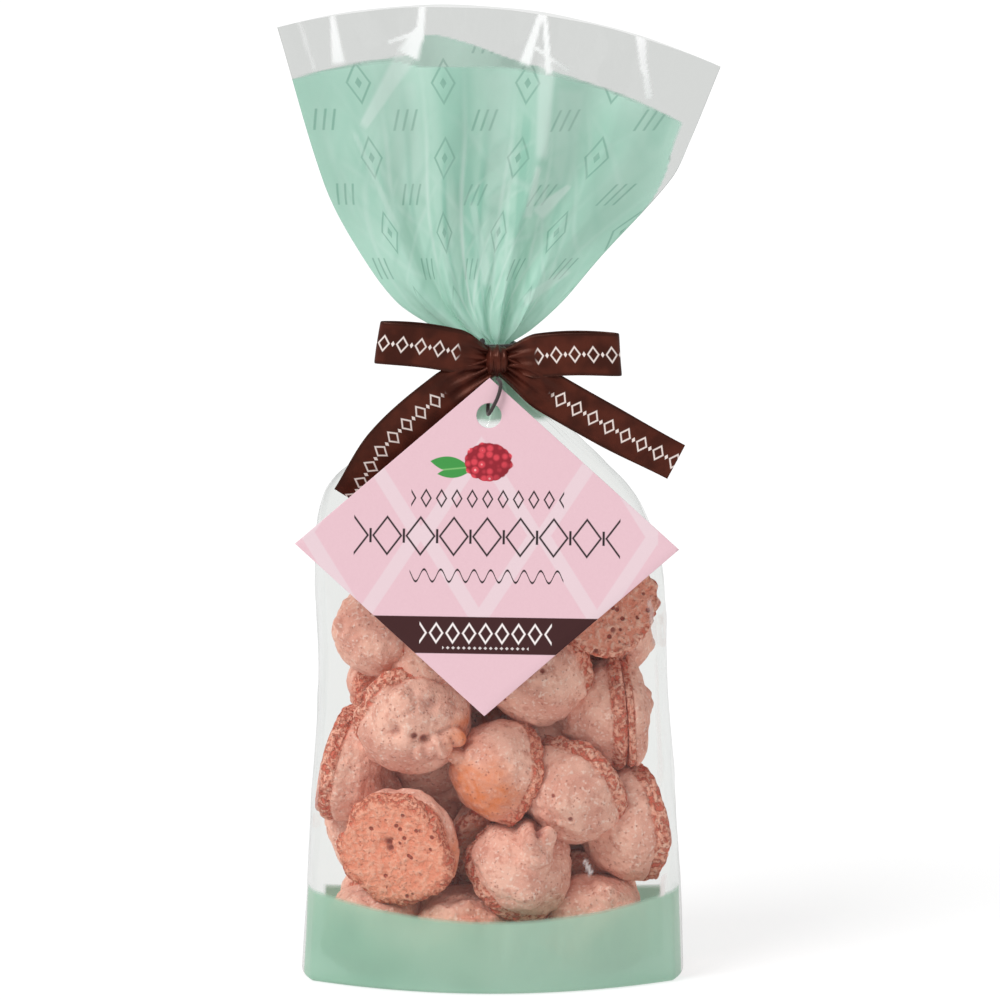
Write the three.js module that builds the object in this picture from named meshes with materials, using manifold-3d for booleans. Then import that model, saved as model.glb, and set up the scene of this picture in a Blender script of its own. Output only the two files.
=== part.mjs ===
// A clear gift bag of raspberry macarons, standing on its flat base: gathered neck, pleated fan of film
// above it, satin bow, lozenge card tag on a cord. Millimetres, +Z up, the front faces -Y, and the origin
// is the centre of the base.
import * as THREE from "three";
import { LoftGeometry } from "three/addons/geometries/LoftGeometry.js";
import { mergeVertices } from "three/addons/utils/BufferGeometryUtils.js";
import Module from "manifold-3d";

const wasm = await Module();
wasm.setup();

// Bag of film. Each outline row is height, reach to the left, reach to the right, half depth.
const BAG_OUTLINE = [
  [0, 55.6, 55.3, 28],
  [27, 54, 54.4, 32],
  [52, 52.6, 52.7, 32.5],
  [86, 50.3, 50, 31.3],
  [120, 51.2, 48.4, 25],
  [136, 49.6, 42.6, 20],
  [145, 44.5, 35.4, 16.6],
  [158, 25, 21.5, 11.2],
  [168, 8.5, 8.5, 7],
  [173, 4.9, 4.9, 4.9],
];
const CREASE_DEPTH = 0.48; // the four corner creases stand at this share of the half depth
const SIDE_BOW = 0.055; // the side gussets bow out by this share of the half width
const FRONT_COLUMNS = 22; // steps across the front, and across the back
const SIDE_COLUMNS = 4; // steps across each side gusset
const FOOT_ROUND = 1.2; // rounding where the walls meet the base

// Printed band at the foot of the bag, and the window above it where the macarons show.
const BAND_TOP = 27;
const BAND_DIP = 5; // the bulging front carries the middle of the band's edge this much lower
const WINDOW_INSET = 15; // the plain core, which the macarons cover, lies this far inside the film
const WINDOW_STEP = 2; // the height over which the wall steps in to the core, above the band
const WINDOW_TOP = 114;
const WINDOW_FADE = 12; // the height over which the wall comes out again, above the heap
const WALL_HEIGHTS = [14, BAND_TOP, BAND_TOP + WINDOW_STEP, 46, 65, 84, 100, WINDOW_TOP, 120, 127, 134, 141, 148,
  155, 161, 167, 173];
const TRIM_TOP = 145; // no macaron reaches higher
const TRIM_INSET = 0.2;

// Gathered neck, and the fan of film above it.
const NECK_TOP = 183;
const PLEATS = 13; // folds all the way round the neck
const PLEAT_DEPTH = 0.35;
const PLEATS_FROM = 136; // the folds start on the shoulder at this height
const FAN_WALL = 0.8;
const FAN_SHARES = [0, 0.04, 0.09, 0.16, 0.26, 0.4, 0.6, 0.8, 1];
const MOUTH_STARTS = 3; // the fan is open down to this one of its shares
const RIM_TOP = 281.3;
const RIM_PEAK_X = -14; // the rim is highest here, left of the middle
const RIM_FALL = 0.003; // fall of the rim per square millimetre away from its peak
// Reach of the fan to each side: share of its height, distance from the axis.
const FAN_LEFT = [
  [0, 4.9],
  [0.04, 14.5],
  [0.13, 27],
  [0.32, 39.3],
  [0.51, 47.6],
  [1, 60.3],
];
const FAN_RIGHT = [
  [0, 4.9],
  [0.05, 11.5],
  [0.15, 20],
  [0.3, 29.6],
  [0.59, 49.9],
  [0.73, 55.3],
  [1, 63.8],
];
// Half depth of the fan in its middle: share of its height, half depth.
const FAN_DEPTH = [
  [0, 4.9],
  [0.3, 6.2],
  [1, 9],
];
const FAN_EDGE = 1.1; // half depth at the pressed side edges
const FAN_WAVE = 2.4; // height of the soft waves that run up the fan
const FAN_WAVES = 2.2; // waves across the front

// Section of a macaron from its flat face up to its peak: share of its radius, share of its height.
const MACARON_SECTION = [
  [0.93, 0],
  [1.01, 0.07],
  [0.97, 0.22],
  [0.94, 0.42],
  [0.8, 0.67],
  [0.54, 0.88],
  [0.25, 0.99],
  [0.12, 1.12],
];
const MACARON_SIDES = 14;
const UNEVEN = 0.022; // share of its radius by which a macaron is out of round
const PEAK_SWAY = 2.5; // how far a peak may lean out of the middle
// Where each macaron lies, from the front ones to the hidden ones: x, y, z of its middle; where its peak
// points, as degrees round from the front towards +X and degrees up; its radius; its height without the peak.
const MACARONS = [
  [-36, -7, 101.5, -60, 5, 14.5, 18],
  [-21, -15, 73.5, 18, -30, 17, 20],
  [-37.5, -1, 59.5, 78, -12, 16.3, 19],
  [-25, -14, 42, 160, 12, 17, 20],
  [-1.5, -15.5, 63, -48, 14, 14.7, 18],
  [20, -13, 53, -38, -28, 16.3, 20],
  [10, -16, 36, 32, 34, 15.5, 19],
  [34.5, -3, 43.5, -62, -4, 17, 20],
  [28.5, -2, 76.5, -85, -4, 16.3, 17],
  [41, -1.5, 76.5, 95, 4, 16, 8],
  [29, -5, 108, -165, -22, 16.3, 20],
  [10.5, -14, 88, -26, -24, 16.3, 20],
  [-33, -9, 17.5, 10, 70, 16, 20],
  [-8, -15, 17, 0, 60, 16, 20],
  [30, -11, 20, 20, 62, 16, 20],
  [-4, -9, 110, 20, 40, 15, 19],
  [-30, 14, 21, 190, 35, 16, 20],
  [3, 17, 20, 170, 40, 16, 20],
  [34, 13, 20, 150, 40, 15, 19],
  [-14, 15, 50, 25, -5, 16, 20],
  [17, 17, 52, 160, -10, 16, 20],
  [-29, 13, 82, 205, 15, 15.5, 20],
  [3, 17, 80, 178, -15, 16.3, 20],
  [-18, 13, 108, 200, 20, 15, 19],
  [14, 13, 106, 165, 10, 15, 19],
];

// Satin ribbon, tied in a bow round the neck.
const RIBBON_WIDTH = 12;
const RIBBON_THICK = 0.7;
const RIBBON_PINCH = 6.5; // the ribbon's width where the knot squeezes it
const BAND_LOW = 174.5;
const BAND_HIGH = 181.4;
const BAND_RADIUS = 5.9; // inside of the ribbon's band round the neck
const BAND_SWELL = 0.3; // the band bulges this much in the middle of its width
const NECK_SIDES = 32;
const KNOT = new THREE.Vector3(1.2, -10.4, 178.8);
const KNOT_HALF = new THREE.Vector3(3.2, 4, 4.3);
// Each loop: where its fold lies from the knot, and half of how far it opens.
const LOOPS = [
  { fold: new THREE.Vector3(-33.5, -2.4, 5.6), open: 3.6 },
  { fold: new THREE.Vector3(34.4, -2.4, 2.1), open: 3.8 },
];
const LOOP_START = 1.5; // a loop begins this far from the middle of the knot
const LOOP_SPREAD = 0.45; // share of a loop over which it spreads from the pinch to its full width
const LOOP_STEPS = 20;
// Each tail: the points its middle passes from the knot, its turn about its own length, its end width.
const TAILS = [
  {
    route: [
      [0, 0, 0],
      [-13.5, -2.4, -8],
      [-31, -4.2, -23],
      [-41, -5.6, -38.5],
    ],
    turn: -12,
    end: 11.6,
  },
  {
    route: [
      [0, -1, 0],
      [13.5, -3, -8],
      [34, -4.2, -19.5],
      [50.3, -4.8, -28],
    ],
    turn: 0,
    end: 10.8,
  },
];
const TAIL_STEPS = 12;

// Card tag: a lozenge that leans back against the bag, and its eyelet hole.
const TAG_WIDTH = 107.3;
const TAG_LENGTH = 94.6;
const TAG_THICK = 0.6;
const TAG_ROLL = 0.9; // degrees that its right corner hangs low
const TAG_TOP = new THREE.Vector3(-0.9, -15.2, 174.6); // its top corner, on its back face
const TAG_LEAN = 12.2; // degrees from upright, its foot pushed forward by the belly
const EYELET_RADIUS = 3.5;
const EYELET_DROP = 10.6; // from the top corner to the middle of the hole

// Elastic cord: one turn round the neck, and the loop that the tag hangs on.
const CORD_RADIUS = 0.55;
const CORD_SIDES = 8; // an even number
const CORD_STEPS = 30;
const TIE_HEIGHT = 182.4;
const TIE_RADIUS = 6.4;
const TIE_SIDES = 24;
const TIE_KNOT = new THREE.Vector3(-3, -6.6, 183.2);
const TIE_KNOT_HALF = new THREE.Vector3(0.9, 0.9, 1.7);
const TAG_CORD = [
  [1.3, -12.2, 173.9],
  [1.9, -14.8, 173.7],
  [2.2, -17.1, 172.9],
  [1.9, -18.1, 171.2],
  [1.2, -18.6, 169.2],
  [0, -19.1, 166.8],
  [-1, -18.8, 165.1],
  [-1.4, -16.9, 164.8],
  [-1.3, -14.8, 167.2],
  [-0.9, -12.7, 170.8],
  [-0.6, -10.8, 172.6],
];

const rad = THREE.MathUtils.degToRad;
const clamp = THREE.MathUtils.clamp;
const smooth = THREE.MathUtils.smoothstep;

// A smooth curve through rows of [place, value, value]: the chosen value at a place.
function along(rows, place, column = 1) {
  let i = 0;
  while (i < rows.length - 2 && rows[i + 1][0] < place) i += 1;
  const slopeAt = (k) => {
    const before = rows[Math.max(k - 1, 0)];
    const after = rows[Math.min(k + 1, rows.length - 1)];
    return (after[column] - before[column]) / (after[0] - before[0]);
  };
  const span = rows[i + 1][0] - rows[i][0];
  const t = clamp((place - rows[i][0]) / span, 0, 1);
  const [a, b] = [rows[i][column], rows[i + 1][column]];
  const rise = t * t * (3 - 2 * t);
  const start = t * (1 - t) * (1 - t) * span * slopeAt(i);
  const finish = t * t * (t - 1) * span * slopeAt(i + 1);
  return a + (b - a) * rise + start + finish;
}

// The four panels of the bag, walked anticlockwise from the front left crease. t runs from -1 to 1 across
// a panel.
function walkPanels(place) {
  const points = [];
  const panels = [
    ["front", FRONT_COLUMNS],
    ["right", SIDE_COLUMNS],
    ["back", FRONT_COLUMNS],
    ["left", SIDE_COLUMNS],
  ];
  const total = 2 * (FRONT_COLUMNS + SIDE_COLUMNS);
  for (const [panel, columns] of panels) {
    for (let k = 0; k < columns; k += 1) {
      const t = (2 * k) / columns - 1;
      points.push(place(panel, t, points.length / total));
    }
  }
  return points;
}

// A point of the ring whose panels bow out between four creases.
function bowed(panel, t, halfWidth, halfDepth, creaseX, creaseY) {
  const bulge = 1 - t * t;
  const front = creaseY + (halfDepth - creaseY) * bulge;
  const side = creaseX + (halfWidth - creaseX) * bulge;
  if (panel === "front") return [creaseX * t, -front];
  if (panel === "right") return [side, creaseY * t];
  if (panel === "back") return [-creaseX * t, front];
  return [-side, -creaseY * t];
}

// How much lower a line of the film lies in the middle of the front, where the contents push it out.
function dip(height) {
  return height < 2 * BAND_TOP ? BAND_DIP * Math.sin((Math.PI * height) / (2 * BAND_TOP)) : 0;
}

// The pleats of the gathered neck, as a factor on the distance from the middle.
function pleated(x, y, depth, around) {
  return 1 + (depth * Math.cos(2 * Math.PI * PLEATS * around)) / Math.hypot(x, y);
}

// Ring of the filled bag at a height, drawn in by an inset.
function bagRing(height, inset = 0) {
  const [left, right, halfDepth] = [1, 2, 3].map((column) => along(BAG_OUTLINE, height, column) - inset);
  const middle = (right - left) / 2;
  const halfWidth = (right + left) / 2;
  const creaseX = halfWidth * (1 - SIDE_BOW);
  const depth = PLEAT_DEPTH * smooth(height, PLEATS_FROM, BAG_OUTLINE.at(-1)[0]);
  return walkPanels((panel, t, around) => {
    const [x, y] = bowed(panel, t, halfWidth, halfDepth, creaseX, halfDepth * CREASE_DEPTH);
    const out = pleated(x, y, depth, around);
    const drop = panel === "front" || panel === "back" ? dip(height) * (1 - t * t) : 0;
    return new THREE.Vector3(middle + x * out, y * out, height - drop);
  });
}

// Height of the fan's rim over a place x.
function rimHeight(x) {
  return RIM_TOP - RIM_FALL * (x - RIM_PEAK_X) ** 2;
}

// Ring of the fan at a share of its height. wall draws the ring in, for the inside of the film.
function fanRing(share, wall = 0) {
  const left = along(FAN_LEFT, share) - wall;
  const right = along(FAN_RIGHT, share) - wall;
  const halfDepth = along(FAN_DEPTH, share) - wall;
  const edge = THREE.MathUtils.lerp(FAN_DEPTH[0][1] * CREASE_DEPTH, FAN_EDGE, smooth(share, 0, 0.4)) - wall;
  const middle = (right - left) / 2;
  const halfWidth = (right + left) / 2;
  const creaseX = halfWidth * (1 - SIDE_BOW * (1 - smooth(share, 0, 0.3)));
  const depth = PLEAT_DEPTH * (1 - smooth(share, 0, 0.25));
  const [rimLeft, rimRight] = [-FAN_LEFT.at(-1)[1], FAN_RIGHT.at(-1)[1]];
  return walkPanels((panel, t, around) => {
    const [x, y] = bowed(panel, t, halfWidth, halfDepth, creaseX, edge);
    const out = pleated(x, y, depth, around);
    const facing = panel === "front" ? 1 : -1;
    const flat = panel === "front" || panel === "back";
    const calm = flat ? Math.sqrt(share) * (1 - t ** 4) : 0;
    const wave = FAN_WAVE * calm * Math.sin(2 * Math.PI * FAN_WAVES * t * facing + 1.1 * facing);
    const rimX = THREE.MathUtils.mapLinear(x / halfWidth, -1, 1, rimLeft, rimRight);
    const z = NECK_TOP + share * (rimHeight(rimX) - NECK_TOP);
    return new THREE.Vector3(middle + x * out, y * out + wave, z);
  });
}

// A closed geometry as a solid that can be joined and cut.
function solidOf(geometry) {
  const loose = geometry.index ? geometry.toNonIndexed() : geometry.clone();
  loose.deleteAttribute("normal");
  loose.deleteAttribute("uv");
  const merged = mergeVertices(loose, 1e-4);
  const kept = [];
  const index = merged.index.array;
  for (let i = 0; i < index.length; i += 3) {
    const [a, b, c] = index.slice(i, i + 3);
    if (a !== b && b !== c && c !== a) kept.push(a, b, c);
  }
  return new wasm.Manifold(
    new wasm.Mesh({
      numProp: 3,
      vertProperties: merged.attributes.position.array,
      triVerts: new Uint32Array(kept),
    }),
  );
}

// A solid as a geometry that a mesh can show.
function geometryOf(solid) {
  const mesh = solid.getMesh();
  const geometry = new THREE.BufferGeometry();
  geometry.setAttribute("position", new THREE.BufferAttribute(mesh.vertProperties, mesh.numProp));
  geometry.setIndex(new THREE.BufferAttribute(mesh.triVerts, 1));
  geometry.computeVertexNormals();
  return geometry;
}

// The largest body of a solid: this fills sealed hollows and drops loose scraps.
function largestBody(solid) {
  return solid.decompose().reduce((best, body) => (body.volume() > best.volume() ? body : best));
}

function loft(sections, capEnd = true) {
  return new LoftGeometry(sections, { closed: true, capStart: true, capEnd });
}

// The direction that a bearing from the front and an elevation point to.
function direction(bearing, up) {
  const [b, u] = [rad(bearing), rad(up)];
  return new THREE.Vector3(Math.sin(b) * Math.cos(u), -Math.cos(b) * Math.cos(u), Math.sin(u));
}

// A number from 0 to 1 that is always the same for the same seed.
function chance(seed) {
  const value = Math.sin(seed * 12.9898 + 4.1414) * 43758.5453;
  return value - Math.floor(value);
}

// One macaron in its place, with an uneven foot and its peak a little off the middle.
function macaron([x, y, z, bearing, up, radius, height], number) {
  const phase = 2 * Math.PI * chance(number);
  const sections = MACARON_SECTION.map(([reach, rise]) => {
    const sway = PEAK_SWAY * smooth(rise, 0.7, 1.1);
    const ring = [];
    for (let k = 0; k < MACARON_SIDES; k += 1) {
      const turn = (2 * Math.PI * k) / MACARON_SIDES;
      const uneven = 1 + UNEVEN * (Math.sin(3 * turn + phase) + Math.cos(5 * turn - phase));
      const r = radius * reach * uneven;
      const u = r * Math.cos(turn) + sway * Math.cos(phase);
      const v = r * Math.sin(turn) + sway * Math.sin(phase);
      ring.push(new THREE.Vector3(u, v, height * (rise - 0.5)));
    }
    return ring;
  });
  const upright = new THREE.Vector3(0, 0, 1);
  const toPeak = new THREE.Quaternion().setFromUnitVectors(upright, direction(bearing, up));
  return solidOf(loft(sections).applyQuaternion(toPeak).translate(x, y, z));
}

// The filled bag and its fan: one skin up the outside, over the rim, and down inside the fan, where it
// closes in a point above the neck.
function filmWithFilling() {
  const inset = (height) => {
    const inwards = smooth(height, BAND_TOP, BAND_TOP + WINDOW_STEP);
    const outwards = smooth(height, WINDOW_TOP, WINDOW_TOP + WINDOW_FADE);
    return WINDOW_INSET * inwards * (1 - outwards);
  };
  const foot = [bagRing(0, FOOT_ROUND), bagRing(FOOT_ROUND)];
  const walls = WALL_HEIGHTS.map((height) => bagRing(height, inset(height)));
  const outside = FAN_SHARES.map((share) => fanRing(share));
  const inside = FAN_SHARES.slice(MOUTH_STARTS).reverse().map((share) => fanRing(share, FAN_WALL));
  const floor = inside.at(-1)[0].clone().setX(0).setY(0);
  const bottom = inside[0].map(() => floor);
  return solidOf(loft([...foot, ...walls, ...outside, ...inside, bottom], false));
}

// The room inside the film, a hair in from it, which trims the macarons that press against the film.
function insideOfFilm() {
  const heights = [1, ...WALL_HEIGHTS.filter((height) => height < TRIM_TOP)];
  return solidOf(loft(heights.map((height) => bagRing(height, TRIM_INSET))));
}

function bag() {
  const heap = wasm.Manifold.union(MACARONS.map(macaron));
  return largestBody(filmWithFilling().add(heap.intersect(insideOfFilm())));
}

// A flat strap: at each step its middle, the direction across it, and its width.
function strap(steps) {
  const sections = steps.map(({ middle, across, normal, width }) => {
    const side = across.clone().multiplyScalar(width / 2);
    const out = normal.clone().multiplyScalar(RIBBON_THICK / 2);
    const corner = (s, o) => middle.clone().addScaledVector(side, s).addScaledVector(out, o);
    return [corner(1, 1), corner(-1, 1), corner(-1, -1), corner(1, -1)];
  });
  return solidOf(loft(sections));
}

// One loop of the bow: a drop-shaped path out from the knot and back, with the ribbon standing on edge.
function bowLoop({ fold, open }) {
  const steps = [];
  const reach = new THREE.Vector3(fold.x, 0, fold.z);
  const length = reach.length();
  const out = reach.clone().normalize();
  const across = new THREE.Vector3(-out.z, 0, out.x).multiplyScalar(Math.sign(fold.x));
  const place = (share) => {
    const turn = 2 * Math.PI * share;
    const away = (1 - Math.cos(turn)) / 2;
    return KNOT.clone()
      .addScaledVector(out, THREE.MathUtils.lerp(LOOP_START, length, away))
      .add(new THREE.Vector3(0, fold.y * away - open * Math.sin(turn) * Math.sqrt(away), 0));
  };
  for (let k = 0; k <= LOOP_STEPS; k += 1) {
    const share = k / LOOP_STEPS;
    const ahead = place(share + 0.01).sub(place(share - 0.01)).normalize();
    const away = (1 - Math.cos(2 * Math.PI * share)) / 2;
    const width = THREE.MathUtils.lerp(RIBBON_PINCH, RIBBON_WIDTH, smooth(away, 0, LOOP_SPREAD));
    steps.push({ middle: place(share), across, normal: ahead.clone().cross(across), width });
  }
  return strap(steps);
}

// One tail of the bow, which turns about its own length as it hangs.
function bowTail({ route, turn, end }) {
  const curve = new THREE.CatmullRomCurve3(route.map((p) => new THREE.Vector3(...p).add(KNOT)));
  const steps = [];
  for (let k = 0; k <= TAIL_STEPS; k += 1) {
    const share = k / TAIL_STEPS;
    const ahead = curve.getTangentAt(share);
    const flat = new THREE.Vector3(0, -1, 0);
    const across = flat.clone().cross(ahead).normalize().applyAxisAngle(ahead, rad(turn * share));
    const open = THREE.MathUtils.lerp(RIBBON_PINCH, RIBBON_WIDTH, smooth(share, 0, 0.3));
    const width = THREE.MathUtils.lerp(open, end, smooth(share, 0.6, 1));
    steps.push({ middle: curve.getPointAt(share), across, normal: ahead.clone().cross(across), width });
  }
  return strap(steps);
}

// The ribbon is one piece: a band round the neck, the knot, two loops and two tails.
function ribbonBow() {
  const section = [
    [BAND_RADIUS, BAND_LOW],
    [BAND_RADIUS + RIBBON_THICK, BAND_LOW],
    [BAND_RADIUS + RIBBON_THICK + BAND_SWELL, (BAND_LOW + BAND_HIGH) / 2],
    [BAND_RADIUS + RIBBON_THICK, BAND_HIGH],
    [BAND_RADIUS, BAND_HIGH],
    [BAND_RADIUS, BAND_LOW],
  ];
  const band = new THREE.LatheGeometry(section.map(([r, z]) => new THREE.Vector2(r, z)), NECK_SIDES);
  band.rotateX(Math.PI / 2);
  const knot = new THREE.SphereGeometry(1, 16, 10).scale(...KNOT_HALF).translate(...KNOT);
  const parts = [solidOf(band), solidOf(knot), ...LOOPS.map(bowLoop), ...TAILS.map(bowTail)];
  return largestBody(wasm.Manifold.union(parts));
}

// The lozenge tag, drawn flat with its top corner at the origin.
function tagGeometry() {
  const outline = new THREE.Shape();
  outline.moveTo(0, 0);
  outline.lineTo(-TAG_WIDTH / 2, -TAG_LENGTH / 2);
  outline.lineTo(0, -TAG_LENGTH);
  outline.lineTo(TAG_WIDTH / 2, -TAG_LENGTH / 2);
  outline.closePath();
  const eyelet = new THREE.Path();
  eyelet.absarc(0, -EYELET_DROP, EYELET_RADIUS, 0, 2 * Math.PI, true);
  outline.holes.push(eyelet);
  return new THREE.ExtrudeGeometry(outline, { depth: TAG_THICK, bevelEnabled: false, curveSegments: 16 });
}

// A cord that follows points from end to end.
function cord(points) {
  const path = new THREE.CatmullRomCurve3(points.map((p) => new THREE.Vector3(...p)));
  const section = new THREE.Shape();
  section.absarc(0, 0, CORD_RADIUS, 0, 2 * Math.PI, false);
  return new THREE.ExtrudeGeometry(section, {
    steps: CORD_STEPS,
    curveSegments: CORD_SIDES / 2,
    extrudePath: path,
    bevelEnabled: false,
  });
}

// The cord's turn round the neck, with its small knot standing up in front.
function neckTie() {
  const ring = new THREE.TorusGeometry(TIE_RADIUS, CORD_RADIUS, CORD_SIDES, TIE_SIDES);
  ring.translate(0, 0, TIE_HEIGHT);
  const knot = new THREE.SphereGeometry(1, 10, 8).scale(...TIE_KNOT_HALF).translate(...TIE_KNOT);
  return solidOf(ring).add(solidOf(knot));
}

const FILM = new THREE.MeshStandardMaterial({ color: 0xc9dccf, roughness: 0.2, metalness: 0 });
const SATIN = new THREE.MeshStandardMaterial({ color: 0x32130f, roughness: 0.45, metalness: 0 });
const CARD = new THREE.MeshStandardMaterial({ color: 0xecc4cf, roughness: 0.7, metalness: 0 });
const CORD = new THREE.MeshStandardMaterial({ color: 0x17100e, roughness: 0.8, metalness: 0 });

function named(name, geometry, material) {
  const mesh = new THREE.Mesh(geometry, material);
  mesh.name = name;
  return mesh;
}

const giftBag = new THREE.Group();
giftBag.add(named("bag", geometryOf(bag()), FILM));
giftBag.add(named("ribbon_bow", geometryOf(ribbonBow()), SATIN));
giftBag.add(named("neck_tie", geometryOf(neckTie()), CORD));
giftBag.add(named("tag_cord", cord(TAG_CORD), CORD));

const tag = named("tag", tagGeometry(), CARD);
tag.position.copy(TAG_TOP);
tag.rotation.set(rad(90 - TAG_LEAN), 0, rad(-TAG_ROLL));
giftBag.add(tag);

export default giftBag;
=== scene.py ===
# %% [markdown]
# # A clear gift bag of macarons
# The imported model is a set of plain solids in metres. This lesson dresses them: a thin film with a mint
# print takes the place of the bag's solid, with baked macarons inside it, and the bow, the card tag and
# the fine cord get their cloth, paper and braid. All shapes below are worked out in millimetres, as a
# bag maker would measure them, and turned into metres when a mesh is made.

import bpy
import numpy as np
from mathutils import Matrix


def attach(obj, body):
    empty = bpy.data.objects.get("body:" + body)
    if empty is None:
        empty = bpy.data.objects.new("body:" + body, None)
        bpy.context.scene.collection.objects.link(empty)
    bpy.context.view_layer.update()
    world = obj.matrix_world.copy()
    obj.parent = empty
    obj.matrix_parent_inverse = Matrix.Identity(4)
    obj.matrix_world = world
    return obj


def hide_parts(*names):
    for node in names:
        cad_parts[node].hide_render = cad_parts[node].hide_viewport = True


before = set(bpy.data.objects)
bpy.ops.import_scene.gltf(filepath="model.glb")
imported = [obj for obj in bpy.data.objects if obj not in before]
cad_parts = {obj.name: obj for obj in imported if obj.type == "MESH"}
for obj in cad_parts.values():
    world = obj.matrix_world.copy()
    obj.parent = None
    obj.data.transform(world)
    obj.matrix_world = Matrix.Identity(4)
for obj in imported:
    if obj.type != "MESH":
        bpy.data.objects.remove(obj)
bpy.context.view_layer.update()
MM = 0.001


def add_object(name, data):
    """A new object with this data, linked to the scene."""
    made = bpy.data.objects.new(name, data)
    bpy.context.scene.collection.objects.link(made)
    return made


print("nodes:", sorted(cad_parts))

# %% [markdown]
# ## Camera
# The bag was seen from a little above, through a long lens from about a metre away, which keeps its
# sides nearly parallel. A free camera could be turned by eye, but working its place out from a target,
# a distance and a height angle keeps every number meaningful.

# %% Camera
TARGET = np.array([0.002, 0.0, 0.1376])
DISTANCE = 1.2
LOOK_DOWN = np.radians(9.0)

lens = bpy.data.cameras.new("camera")
lens.lens = 151.6
lens.sensor_width = 36.0
camera = add_object("camera", lens)
camera.location = TARGET + DISTANCE * np.array([0, -np.cos(LOOK_DOWN), np.sin(LOOK_DOWN)])
camera.rotation_euler = (np.pi / 2 - LOOK_DOWN, 0, 0)
bpy.context.scene.camera = camera
print("camera at", np.round(camera.location, 3))

# %% [markdown]
# ## Curves, soft steps and noise
# Every outline on this bag is a smooth curve through a few measured points. A soft step blends one rule
# into another, and value noise gives the uneven surface of baked dough and of handled film. All of them
# take whole arrays, so that a shape is one formula and not a loop over its points.


# %% Small tools for arrays
def soft_step(x, low, high):
    """From 0 at low to 1 at high, as t squared times (3 minus 2t)."""
    t = np.clip((x - low) / (high - low), 0, 1)
    return t * t * (3 - 2 * t)


def points_at(x, y, z):
    """Points from three arrays, or numbers, that stretch to each other's shape."""
    return np.stack(np.broadcast_arrays(x, y, z), -1)


def unit(vectors):
    """Each vector divided by its own length."""
    return vectors / np.linalg.norm(vectors, axis=-1, keepdims=True)


def along(rows, place, column=1):
    """A smooth curve through rows of (place, value, ...): each span is a cubic that leaves and meets its
    ends with the slope between their neighbours."""
    table = np.array(rows, float)
    x, y = table[:, 0], table[:, column]
    last = len(x) - 1
    before = np.maximum(np.arange(last + 1) - 1, 0)
    after = np.minimum(np.arange(last + 1) + 1, last)
    slope = (y[after] - y[before]) / (x[after] - x[before])
    place = np.clip(place, x[0], x[-1])
    i = np.clip(np.searchsorted(x, place) - 1, 0, last - 1)
    span = x[i + 1] - x[i]
    t = (place - x[i]) / span
    rise = t * t * (3 - 2 * t)
    start = t * (1 - t) ** 2 * span * slope[i]
    finish = t * t * (t - 1) * span * slope[i + 1]
    return y[i] + (y[i + 1] - y[i]) * rise + start + finish


def noise(points, size, seed):
    """Smooth value noise from -1 to 1: a fixed random number at every corner of a lattice of cubes of
    this size, blended inside each cube by the soft step of the place in it."""
    place = np.asarray(points) / size
    cell = np.floor(place)
    part = soft_step(place - cell, 0, 1)
    total = np.zeros(place.shape[:-1])
    for corner in np.ndindex(2, 2, 2):
        lattice = (cell + corner) @ np.array([12.9898, 78.233, 37.719]) + 17.13 * seed
        random = np.modf(np.abs(np.sin(lattice)) * 43758.5453)[0]
        weight = np.where(np.array(corner) == 1, part, 1 - part).prod(axis=-1)
        total += weight * (2 * random - 1)
    return total


print("soft step half way:", soft_step(0.5, 0, 1))

# %% [markdown]
# ## From a grid of points to a piece
# A grid has rows and columns of points. Neighbouring points make the faces, the last column can meet the
# first, and either end can close in one point. Each piece may join many grids, and carries named numbers
# on its points, which its material reads.


# %% Grids, patches and pieces
def patch(grid, rows_meet=False, start=None, end=None, **layers):
    """Points and faces of a grid of shape (rows, columns, 3), whose last column meets its first. The rows
    meet too if asked, or start and end are points that close the first and the last row. Each layer is a
    number for every point of the grid."""
    rows, columns = grid.shape[:2]
    index = np.arange(rows * columns).reshape(rows, columns)
    index = np.concatenate([index, index[:, :1]], axis=1)
    if rows_meet:
        index = np.concatenate([index, index[:1]], axis=0)
    quads = np.stack([index[:-1, :-1], index[:-1, 1:], index[1:, 1:], index[1:, :-1]], -1).reshape(-1, 4)
    points = [grid.reshape(-1, 3)]
    triangles = []
    values = {name: [np.broadcast_to(value, (rows, columns)).ravel()] for name, value in layers.items()}
    count = rows * columns
    for pole, ring, flip in ((start, index[0], 1), (end, index[-1], -1)):
        if pole is None:
            continue
        tip = np.full(len(ring) - 1, count)
        triangles.append(np.stack([tip, ring[1:], ring[:-1]][::flip], -1))
        points.append(np.array(pole, float).reshape(1, 3))
        nearest = 0 if ring is index[0] else -1
        for name, value in layers.items():
            edge = np.broadcast_to(value, (rows, columns))[nearest]
            values[name].append(np.array([edge.mean()]))
        count += 1
    triangles = np.concatenate(triangles) if triangles else np.zeros((0, 3), int)
    return {
        "points": np.concatenate(points),
        "quads": quads,
        "triangles": triangles,
        "layers": {name: np.concatenate(parts) for name, parts in values.items()},
    }


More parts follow.
